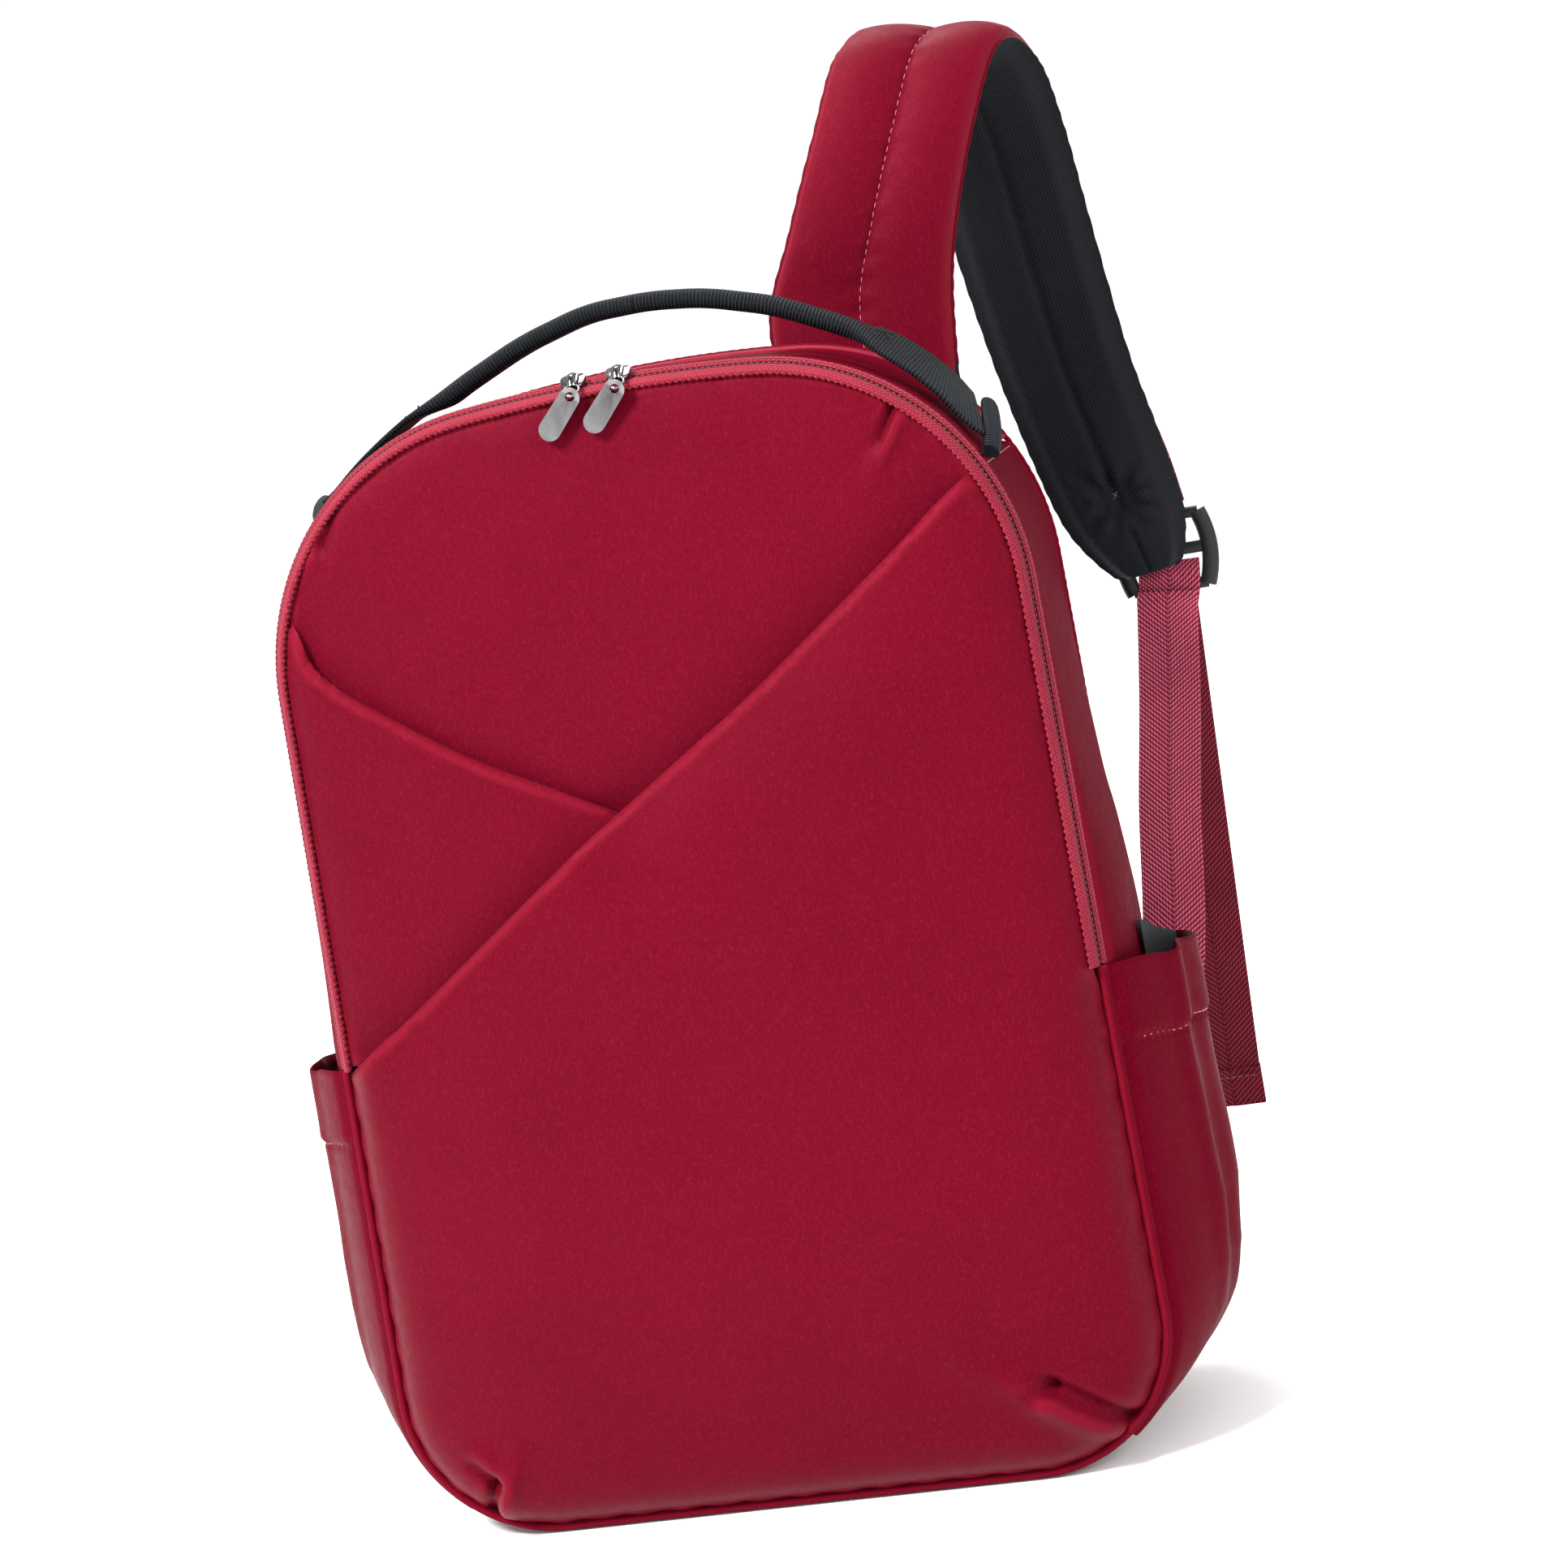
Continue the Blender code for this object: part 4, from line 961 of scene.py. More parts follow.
def shell_out(place, z, y):
    """How far the soft wall stands out, with its seam grooves, creases and sag."""
    part = wall_share(z, y)
    x = edge(place)[0]
    low = smooth((z - 0.004) / 0.05)
    off = bulge(z, part)
    off += 0.0013 * low * math.sin(math.pi * part) * ripple(x, y * 0.7, z, 0.050)
    off += 0.0005 * low * math.sin(math.pi * part) * ripple(x, y, z, 0.019)
    side = min(place % (2 * HALF_LENGTH), 2 * HALF_LENGTH - place % (2 * HALF_LENGTH))
    gap = abs(side - JOIN_S)
    off -= 0.0012 * math.exp(-((gap / 0.0012) ** 2))
    off += 0.0005 * math.exp(-(((gap - 0.0035) / 0.0022) ** 2))
    for seam, depth, width in ((0.0, 0.0010, 0.0016), (1.0, 0.0008, 0.0016)):
        depth_here = (BACK_Y - front_y(z) - RIM_DEEP) * abs(part - seam)
        off -= depth * math.exp(-((depth_here / width) ** 2))
    return off


def wall_back(place):
    """Depth at which the wall's back edge lies: nearer where the rear zip runs over the top."""
    side = min(place % (2 * HALF_LENGTH), 2 * HALF_LENGTH - place % (2 * HALF_LENGTH))
    return (BACK_Y - BINDING - 0.0003) - (REAR_ZIP_WIDTH + 0.0003) * smooth((side - JOIN_S + 0.001) / 0.002)


def make_walls():
    columns = 620
    rows = []
    for r in range(31):
        part = r / 30
        row = []
        for c in range(columns):
            place = 2 * HALF_LENGTH * c / columns
            z = edge(place)[1]
            y = (front_y(z) + RIM_DEEP + 0.0003) * (1 - part) + wall_back(place) * part
            x, height = edge(place, shell_out(place, z, y))
            row.append((x, y, max(height, 0.0)))
        rows.append(row)
    shell = cloth_grid("side_and_top_wall", rows, [LOOKS["side"], LOOKS["lining"]], 0.0015,
                       closed=True, flip=True)
    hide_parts("side_gusset_left", "side_gusset_right", "top_gusset", "base_panel")
    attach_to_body(shell, "pack")

    for name, sign in (("right", 1), ("left", -1)):
        path, normals = [], []
        for k in range(41):
            part = 0.06 + 0.86 * k / 40
            place = sign * (JOIN_S - 0.0036)
            z = edge(place)[1]
            y = (front_y(z) + RIM_DEEP) * (1 - part) + (BACK_Y - BINDING) * part
            low = edge(place, shell_out(place, z, y) + 0.00005)
            high = edge(place, 0.01)
            path.append((low[0], y, low[1]))
            normals.append((high[0] - low[0], 0.0, high[1] - low[1]))
        row = stitches("gusset_topstitch_" + name, path, normals, LOOKS["red_thread"],
                       0.0022, 0.0012, 0.00026)
        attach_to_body(row, "pack")


def strip(name, start, end, profile, material, columns, body, slot, thick=0.0, closed=False, replaced=()):
    """Band round the bag; profile lists (depth y, outward) rows from functions of distance and height."""
    rows = []
    for row_of in profile:
        row = []
        count = columns if closed else columns + 1
        for k in range(count):
            place = start + (end - start) * k / columns
            z = edge(place)[1]
            y, out = row_of(place, z)
            x, height = edge(place, out)
            row.append((x, y, max(height, 0.0)))
        rows.append(row)
    made = cloth_grid(name, rows, [material], thick, closed, flip=True, sharp=70)
    if replaced:
        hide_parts(*replaced)
    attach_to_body(made, body)
    return made


# Profiles across a tape or piping: (depth behind the front, outward, share of the seam's ridges)
FLAP_TAPE_PROFILE = [
    (0.0016, -0.0059, 1), (0.0004, -0.0057, 1), (-0.0003, -0.0052, 1), (-0.0002, -0.0045), (0.0008, -0.0037),
    (0.0022, -0.0029), (0.0036, -0.0022), (0.0047, -0.0018), (0.0052, -0.0020), (0.0053, -0.0027),
]
BODY_TAPE_PROFILE = [
    (0.0063, -0.0027), (0.0065, -0.0016), (0.0070, -0.0006), (0.0080, 0.0000), (0.0092, 0.0003),
    (0.0100, 0.0001, 1), (0.0104, -0.0007),
]
PIPING_PROFILE = [
    (0.0110, -0.0062), (0.0084, -0.0048), (0.0062, -0.0036), (0.0052, -0.0028), (0.0050, -0.0020),
    (0.0056, -0.0011), (0.0068, -0.0004), (0.0082, 0.0001), (0.0092, 0.0000),
]


def make_rim():
    """Zip tapes round the front, the piping under them and the bound back edge."""
    over = HINGE_S + 0.0002, 2 * HALF_LENGTH - HINGE_S - 0.0002

    def sewn(s):
        return 0.00034 * math.sin(2 * math.pi * s / 0.0026) + 0.00012 * math.sin(2 * math.pi * s / 0.0011)

    def front_row(depth, out, share=0):
        """Row at a depth behind the front; share 1 adds the ridges that the seam presses in."""
        return lambda s, z: (front_y(z) + depth, out + share * sewn(s))

    flap_rows = [front_row(*row) for row in FLAP_TAPE_PROFILE]
    strip("flap_zip_tape", *over, flap_rows, LOOKS["tape"], 1500, "front_flap", "rose_tape", 0.0006,
          replaced=("main_zip_tape_flap",))
    body_rows = [front_row(*row) for row in BODY_TAPE_PROFILE]
    strip("body_zip_tape", *over, body_rows, LOOKS["body_tape"], 1500, "pack", "rose_tape", 0.0006,
          replaced=("main_zip_tape_body",))

    def coil(name, y_off, out, body):
        path = []
        steps = 2200
        for k in range(steps + 1):
            s = over[0] + (over[1] - over[0]) * k / steps
            z = edge(s)[1]
            x, height = edge(s, out)
            path.append((x, front_y(z) + y_off, height))
        radius = lambda t: 0.00065 * (1 + 0.35 * math.sin(math.pi * t * steps * 0.5))
        made = tube(name, path, radius, LOOKS["coil"], 6)
        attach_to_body(made, body)

    coil("flap_zip_coil", 0.0052, -0.0040, "front_flap")
    coil("body_zip_coil", 0.0066, -0.0040, "pack")

    halves = (("flap", 0.0044, -0.00188, "front_flap"), ("body", 0.0074, -0.00030, "pack"))
    for name, offset, out, body in halves:
        path, normals = [], []
        for k in range(901):
            s = over[0] + (over[1] - over[0]) * k / 900
            z = edge(s)[1]
            x, height = edge(s, out + 0.0001)
            far = edge(s, out + 0.01)
            path.append((x, front_y(z) + offset, height))
            normals.append((far[0] - x, -0.006 if name == "flap" else -0.004, far[1] - height))
        row = stitches(name + "_tape_stitches", path, normals, LOOKS["red_thread"], 0.0015, 0.0008, 0.00016)
        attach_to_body(row, body)

    piping_rows = [front_row(*row) for row in PIPING_PROFILE]
    strip("front_lower_piping", -HINGE_S + 0.0002, HINGE_S - 0.0002, piping_rows, LOOKS["side"], 420, "pack",
          "crimson_fabric", 0.0010, replaced=("front_piping",))

    binding_rows = []
    for k in range(9):
        angle = math.pi * (k / 8)
        binding_rows.append(lambda s, z, a=angle: (
            BACK_Y - 0.0014 - 0.0017 * math.cos(a),
            -0.0008 + 0.0019 * math.sin(a) + 0.00012 * math.sin(s / 0.0007)))
    strip("back_edge_binding", 0.0, 2 * HALF_LENGTH, binding_rows, LOOKS["side"], 700, "pack",
          "crimson_fabric", closed=True, replaced=("back_binding",))

    rear = BACK_Y - BINDING - 0.0003
    middle = rear - REAR_ZIP_WIDTH / 2
    rear_over = JOIN_S + 0.0002, 2 * HALF_LENGTH - JOIN_S - 0.0002
    rear_rows = []
    profile = [
        (rear - 0.0102, -0.0010), (rear - 0.0098, 0.0004), (rear - 0.0085, 0.0006),
        (middle - 0.0012, 0.0005), (middle - 0.0004, 0.0003), (middle, -0.0008),
        (middle + 0.0004, 0.0003), (middle + 0.0012, 0.0005),
        (rear - 0.0014, 0.0006), (rear + 0.0002, 0.0004), (rear + 0.0006, -0.0010),
    ]
    for y, lift in profile:
        rear_rows.append(lambda s, z, y=y, lift=lift: (y, bulge(z, wall_share(z, y)) + lift))
    strip("rear_zip_tape_weave", *rear_over, rear_rows, LOOKS["rear_tape"], 800, "pack", "rose_tape", 0.0006,
          replaced=("rear_zip_tape",))


# Side pockets

POCKET_DEPTHS = [(0.012, 0.001), (0.03, 0.007), (0.05, 0.013), (0.09, 0.018), (0.15, 0.017), (0.20, 0.016)]
HEM = 0.030


def pocket_out(z, part):
    """How far a side pocket stands off the wall, from its height and the share from its front seam."""
    depth = float(np.interp(z, [h for h, _ in POCKET_DEPTHS], [d for _, d in POCKET_DEPTHS]))
    rise = min(part / 0.80, 1.0)
    fall = min((1.0 - part) / 0.20, 1.0)
    shape = (1 - (1 - rise) ** 1.7) * (1 - (1 - fall) ** 2.0)
    return depth * max(shape, 0.0)


def pocket_top(part):
    wave = -0.0016 * math.exp(-(((part - 0.24) / 0.07) ** 2))
    wave += 0.0012 * math.exp(-(((part - 0.40) / 0.10) ** 2))
    return 0.192 - 0.011 * part + wave


def pocket_spot(part, z, sign, extra=0.0):
    place = distance_at(z)
    y = (front_y(z) + 0.0125) * (1 - part) + (BACK_Y - 0.006) * part
    wall = bulge(z, wall_share(z, y)) - 0.0052 * smooth(-part / 0.066)
    x, height = edge(place, wall + pocket_out(z, max(part, 0.0)) + 0.0010 + extra)
    return Vector((sign * x, y, height))


def pocket_relief(part, z, sign):
    """Folds, hem band and seams of the pocket cloth."""
    hem = pocket_top(part) - HEM
    rise = smooth((z - 0.03) / 0.05)
    fold = 0.0026 * math.exp(-(((part - 0.27 - 0.25 * (0.19 - z)) / 0.060) ** 2)) * rise
    fold -= 0.0022 * math.exp(-(((part - 0.42 - 0.20 * (0.19 - z)) / 0.070) ** 2)) * rise
    fold += 0.0014 * math.exp(-(((part - 0.62 + 0.30 * (0.19 - z)) / 0.080) ** 2)) * rise
    fold += 0.0012 * ripple(part * 0.11, 4.0 + sign, z, 0.028) * math.sin(math.pi * max(part, 0.0))
    band = 0.0014 * smooth((z - hem) / 0.0012)
    groove = -0.0010 * math.exp(-(((z - hem - 0.0004) / 0.0011) ** 2))
    pucker = 0.0003 * math.sin(2 * math.pi * part / 0.034) * math.exp(-(((z - hem) / 0.004) ** 2))
    return 0.0012 + fold * math.sqrt(math.sin(math.pi * min(max(part, 0.0), 1.0))) + band + groove + pucker


def make_pocket(name, sign):
    columns, levels = 80, 110
    rows = []
    for r in range(levels + 1):
        row = []
        for c in range(columns + 1):
            part = -0.066 + 1.066 * c / columns
            z = 0.0128 + (pocket_top(part) - 0.0128) * r / levels
            row.append(pocket_spot(part, z, sign, pocket_relief(part, z, sign)))
        rows.append(row)
    for depth, drop in ((-0.0009, 0.0005), (-0.0020, 0.0012), (-0.0026, 0.0035), (-0.0026, 0.0140)):
        row = []
        for c in range(columns + 1):
            part = -0.066 + 1.066 * c / columns
            top = pocket_top(part)
            lift = pocket_relief(part, top, sign)
            row.append(pocket_spot(part, top + (0.0004 if drop < 0.001 else -drop), sign, lift + depth))
        rows.append(row)
    cloth = cloth_grid("side_pocket_cloth_" + name, rows, [LOOKS["pocket"]], flip=sign > 0, sharp=75)
    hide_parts("side_pocket_" + name, "pocket_hem_" + name)
    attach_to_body(cloth, "pack")

    inner = []
    for r in range(25):
        row = []
        for c in range(31):
            part = 0.02 + 0.96 * c / 30
            top = pocket_top(part)
            z = 0.0145 + (top - 0.006 - 0.0145) * r / 24
            row.append(pocket_spot(part, z, sign, -0.0013 + min(pocket_relief(part, z, sign), 0.0012)))
        inner.append(row)
    lining = cloth_grid("pocket_lining_" + name, inner, [LOOKS["lining"]], 0.0003, flip=sign > 0)
    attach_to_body(lining, "pack")

    web = []
    for r in range(15):
        row = []
        for c in range(25):
            part = 0.30 + 0.68 * c / 24
            high = pocket_top(part) + 0.013 * (1 - c / 24) ** 1.4 - 0.0008
            z = 0.120 + (high - 0.120) * r / 14
            share = smooth(c / 24)
            y = (front_y(z) + 0.0125) * (1 - part) + (BACK_Y - 0.006) * part
            wall = bulge(z, wall_share(z, y)) + 0.0012
            off = wall + (pocket_out(z, part) - 0.0012) * share
            x, height = edge(distance_at(z), off)
            row.append((sign * x, y, height))
        web.append(row)
    gore = cloth_grid("pocket_gore_" + name, web, [LOOKS["lining"]], 0.0005, flip=sign > 0)
    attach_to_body(gore, "pack")

    path, normals = [], []
    for k in range(81):
        part = 0.03 + 0.94 * k / 80
        z = pocket_top(part) - HEM + 0.0004
        lift = pocket_relief(part, z, sign)
        low = pocket_spot(part, z, sign, lift + 0.0003)
        path.append(low)
        normals.append(pocket_spot(part, z, sign, lift + 0.01) - low)
    row = stitches("pocket_hem_stitches_" + name, path, normals, LOOKS["thread"], 0.0025, 0.0014, 0.00036)
    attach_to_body(row, "pack")
    path, normals = [], []
    for k in range(121):
        z = 0.030 + (pocket_top(0.96) - 0.004 - 0.030) * k / 120
        part = 0.955
        lift = pocket_relief(part, z, sign)
        low = pocket_spot(part, z, sign, lift + 0.0003)
        path.append(low)
        normals.append(pocket_spot(part, z, sign, lift + 0.01) - low)
    row = stitches("pocket_seam_stitches_" + name, path, normals, LOOKS["thread"], 0.0023, 0.0013, 0.00026)
    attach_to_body(row, "pack")


# Back


def make_back():
    loop = loop_between(-HALF_LENGTH, HALF_LENGTH, -0.0030, 0.004)[:-1]

    def back_face(x, z):
        distance = rim_distance(x, z)
        return BACK_Y - 0.0032 + 0.0024 * smooth(distance / 0.012) + 0.0005 * ripple(x, 7.0, z, 0.05)

    panel = filled("back_mesh_panel", loop, lambda x, z: back_face(x, z) - 0.0010,
                   [LOOKS["mesh"]], 0.0010, 0.0045)
    for vertex in panel.data.vertices:
        if vertex.co.y > BACK_Y - 0.0003:
            vertex.co.y = BACK_Y - 0.0003
    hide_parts("back_panel")
    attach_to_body(panel, "pack")
    make_back_pad()
    low_loop = loop_between(-HALF_LENGTH, HALF_LENGTH, -0.0066, 0.004)[:-1]
    sag = lambda x, z: 0.0342 + 0.0010 * ripple(x, 9.0, z, 0.08)
    divider = filled("laptop_sleeve_wall", low_loop, sag, [LOOKS["lining"]], 0.0016, 0.0065)
    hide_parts("laptop_divider")
    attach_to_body(divider, "pack")


def make_back_pad():
    """Ventilated back pad: foam lobes between sewn channels."""
    low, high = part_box("back_pad")
    middle_z = (low.z + high.z) / 2
    outline = loop_between(-HALF_LENGTH, HALF_LENGTH, -0.0033, 0.003)[:-1]
    ring = [(x * 0.70, 0.062 + z * 0.625) for x, z in outline]
    tree = line_tree(ring)

    def face(x, z):
        distance = tree.find((x, 0.0, z))[2]
        puff = 0.0066 * (1 - math.exp(-distance / 0.009))
        spine = 0.0036 * math.exp(-((x / 0.0060) ** 2))
        rib = 0.0
        for level in (-0.072, -0.024, 0.024, 0.072):
            slant = middle_z + level + 0.16 * abs(x)
            rib = max(rib, 0.0030 * math.exp(-(((z - slant) / 0.0042) ** 2)))
        return puff - max(spine, rib) * smooth(distance / 0.012) + 0.0004 * ripple(x, 11.0, z, 0.03)

    pad = filled("back_pad_foam", ring, lambda x, z: BACK_Y + 0.0004, [LOOKS["mesh"]], 0.001, 0.0030)
    half = len(pad.data.vertices) // 2
    for k in range(half):
        front = pad.data.vertices[k]
        back = pad.data.vertices[k + half]
        back.co.y = BACK_Y + 0.0010 + face(front.co.x, front.co.z)
    pad.data.update()
    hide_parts("back_pad")
    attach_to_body(pad, "pack")


# Carry handle

HANDLE_LINE = [
    (-0.1250, 0.4097), (-0.1143, 0.4196), (-0.0990, 0.4304), (-0.0822, 0.4400), (-0.0669, 0.4484),
    (-0.0380, 0.4608), (-0.0103, 0.4683), (0.0157, 0.4688), (0.0379, 0.4661), (0.0652, 0.4580),
    (0.0943, 0.4434), (0.1111, 0.4311), (0.1230, 0.4195), (0.1315, 0.4080), (0.1375, 0.3965),
]
HANDLE_MIDDLE = 0.010
CROSS_LEFT, CROSS_RIGHT = -0.0833, 0.1033
HANDLE_LEAN = 17.0
HANDLE_SKEW = 0.55


def handle_top(x):
    total = 0.0
    for k in range(-5, 6):
        total += float(np.interp(x + 0.0016 * k, [p[0] for p in HANDLE_LINE], [p[1] for p in HANDLE_LINE]))
    return total / 11


def handle_section(x):
    """Width, thickness and roundness of the handle at a place: flat at its feet, folded round in between."""
    near = min(x - CROSS_LEFT, CROSS_RIGHT - x)
    folded = smooth((near + 0.004) / 0.018)
    return 0.0250 + (0.0150 - 0.0250) * folded, 0.0024 + (0.0078 - 0.0024) * folded, folded


def handle_half(name, start, end, steps):
    rows = []
    around = 28
    for k in range(steps + 1):
        x = start + (end - start) * k / steps
        slope = Vector((0.006, 0.0, handle_top(x + 0.003) - handle_top(x - 0.003))).normalized()
        width, thick, folded = handle_section(x)
        skew = HANDLE_SKEW * smooth((x - 0.114) / 0.022)
        lean = math.radians(HANDLE_LEAN if x > 0 else 0.0) * (1 - folded)
        upright = Vector((-slope.z, 0.0, slope.x))
        normal = upright * math.cos(lean) + Vector((0.0, -1.0, 0.0)) * math.sin(lean)
        level = Vector((0.0, 1.0, 0.0)) * math.cos(lean) + upright * math.sin(lean)
        low = -0.0020 * (1 - folded) if x > 0 else 0.0
        centre = Vector((x, -0.003 * (1 - folded), handle_top(x))) + upright * low - normal * thick / 2
        row = []
        for c in range(around):
            angle = 2 * math.pi * c / around
            power = 0.35 + 0.45 * folded
            across = math.copysign(abs(math.cos(angle)) ** power, math.cos(angle)) * width / 2
            lift = math.copysign(abs(math.sin(angle)) ** power, math.sin(angle)) * thick / 2
            if folded > 0.5 and abs(angle - 1.5 * math.pi) < 0.30:
                lift += 0.0009 * (1 - abs(angle - 1.5 * math.pi) / 0.30) * folded
            row.append(centre - level * across + slope * across * skew + normal * lift)
        rows.append(row)
    columns = list(map(list, zip(*rows)))
    columns.append(columns[0])
    made = cloth_grid(name, columns, [LOOKS["grosgrain"]], flip=False, sharp=75)
    return made


def make_handle():
    foot_left, foot_right = -0.1245, 0.1350
    left = handle_half("handle_webbing_left", foot_left, HANDLE_MIDDLE, 110)
    right = handle_half("handle_webbing_right", HANDLE_MIDDLE, foot_right, 110)
    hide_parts("handle_grip", "handle_end_left", "handle_anchor_left")
    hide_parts("handle_end_right", "handle_anchor_right")
    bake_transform(left)
    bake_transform(right)
    lean = Matrix.Rotation(math.radians(HANDLE_LEAN), 3, "X")
    ends = (("left", (-0.1277, 0.4067), -49.0, -1), ("right", (0.1358, 0.3945), 59.5, 1))
    for name, place, tilt, sign in ends:
        turn = Matrix.Rotation(math.radians(tilt), 3, "Y") @ lean
        path = []
        for k in range(15):
            across = -0.0136 + 0.0272 * k / 14
            bow = 0.0009 * (1 - (across / 0.0136) ** 2) + 0.0010
            slant = -across * HANDLE_SKEW if sign > 0 else 0.0
            path.append(Vector((place[0], -0.003, place[1])) + turn @ Vector((slant, across, bow)))
        ups = [turn @ Vector((0.0, 0.0, 1.0))] * len(path)
        girth = lambda t: 0.0044 * (0.80 + 0.20 * math.sin(math.pi * t) ** 0.4)
        roll = tube("handle_rolled_end_" + name, path, girth, LOOKS["grosgrain"], 14, squash=0.66, ups=ups)
        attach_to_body(roll, "pack")
    for name, x in (("left", CROSS_LEFT), ("right", CROSS_RIGHT)):
        normal = Vector((handle_top(x - 0.003) - handle_top(x + 0.003), 0.0, 0.006)).normalized()
        slope = Vector((normal.z, 0.0, -normal.x))
        width = handle_section(x)[0] / 2 - 0.001
        base = Vector((x, 0.0, handle_top(x))) + normal * 0.0001
        path, normals = [], []
        for k in range(4):
            corner = [(-1, -1), (1, 1), (1, -1), (-1, 1)][k]
            path.append(base + Vector((0.0, corner[0] * width, 0.0)) + slope * corner[1] * 0.004)
            normals.append(normal)
        row = stitches("handle_cross_stitch_" + name, path, normals, LOOKS["binding"], 0.0020, 0.0008, 0.0004)
        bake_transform(row)


# Shoulder straps

RAISED_LEFT = [
    (0.0480, 0.0665, 0.3560), (0.0480, 0.0690, 0.3900), (0.0481, 0.0702, 0.4200),
    (0.0484, 0.0715, 0.4505), (0.0617, 0.0720, 0.4815), (0.0772, 0.0760, 0.5176), (0.0905, 0.0880, 0.5500),
    (0.1000, 0.1070, 0.5590), (0.1080, 0.1300, 0.5500), (0.1140, 0.1500, 0.5130), (0.1190, 0.1610, 0.4610),
    (0.1262, 0.1680, 0.4130), (0.1345, 0.1690, 0.3730), (0.1440, 0.1670, 0.3400), (0.1590, 0.1650, 0.3120),
]
RAISED_RIGHT = [
    (0.1150, 0.0665, 0.3560), (0.1168, 0.0690, 0.3900), (0.1190, 0.0702, 0.4200),
    (0.1222, 0.0715, 0.4505), (0.1290, 0.0725, 0.4787), (0.1425, 0.0780, 0.5170), (0.1535, 0.0900, 0.5425),
    (0.1612, 0.1070, 0.5480), (0.1680, 0.1290, 0.5360), (0.1715, 0.1470, 0.5080), (0.1745, 0.1590, 0.4680),
    (0.1808, 0.1670, 0.4110), (0.1880, 0.1690, 0.3730), (0.1930, 0.1680, 0.3440), (0.1935, 0.1660, 0.3170),
]
HUNG_CENTRE = [
    (-0.0815, 0.0672, 0.3560), (-0.0800, 0.0715, 0.3740),
    (-0.0785, 0.0765, 0.3935), (-0.0785, 0.0810, 0.4100), (-0.0790, 0.0985, 0.4180),
    (-0.0800, 0.1160, 0.4080), (-0.0820, 0.1215, 0.3850), (-0.0840, 0.1240, 0.3450),
    (-0.0870, 0.1250, 0.2950), (-0.0905, 0.1250, 0.2450), (-0.0940, 0.1230, 0.1950),
    (-0.0970, 0.1190, 0.1550),
]
HUNG_WIDTH = [0.067, 0.068, 0.068, 0.068, 0.068, 0.067, 0.066, 0.063, 0.060, 0.057, 0.052, 0.036]
ROOT_SHARE = {"right": 0.20, "left": 0.17}


def strap_frames(lefts, rights, steps):
    """Stations along a strap: left edge, right edge and the direction out of its face."""
    left = [Vector(p) for p in lefts]
    right = [Vector(p) for p in rights]
    found = []
    for r in range(steps + 1):
        along = r / steps
        a, b = spline(left, along), spline(right, along)
        ahead = spline(left, along + 0.01) + spline(right, along + 0.01)
        behind = spline(left, along - 0.01) + spline(right, along - 0.01)
        normal = (b - a).cross(ahead - behind).normalized()
        found.append((along, a, b, normal))
    return found


def lobe(across):
    """Height of the two quilted lobes across a strap, 0 at its edges and its centre seam."""
    return abs(math.sin(2 * math.pi * across)) ** 0.55


def narrow_end(along):
    """Share of the width left as the strap's end rounds off."""
    if along < 0.93:
        return 1.0
    share = (along - 0.93) / 0.07
    return 0.62 + 0.38 * math.sqrt(max(1 - share * share, 0.0))


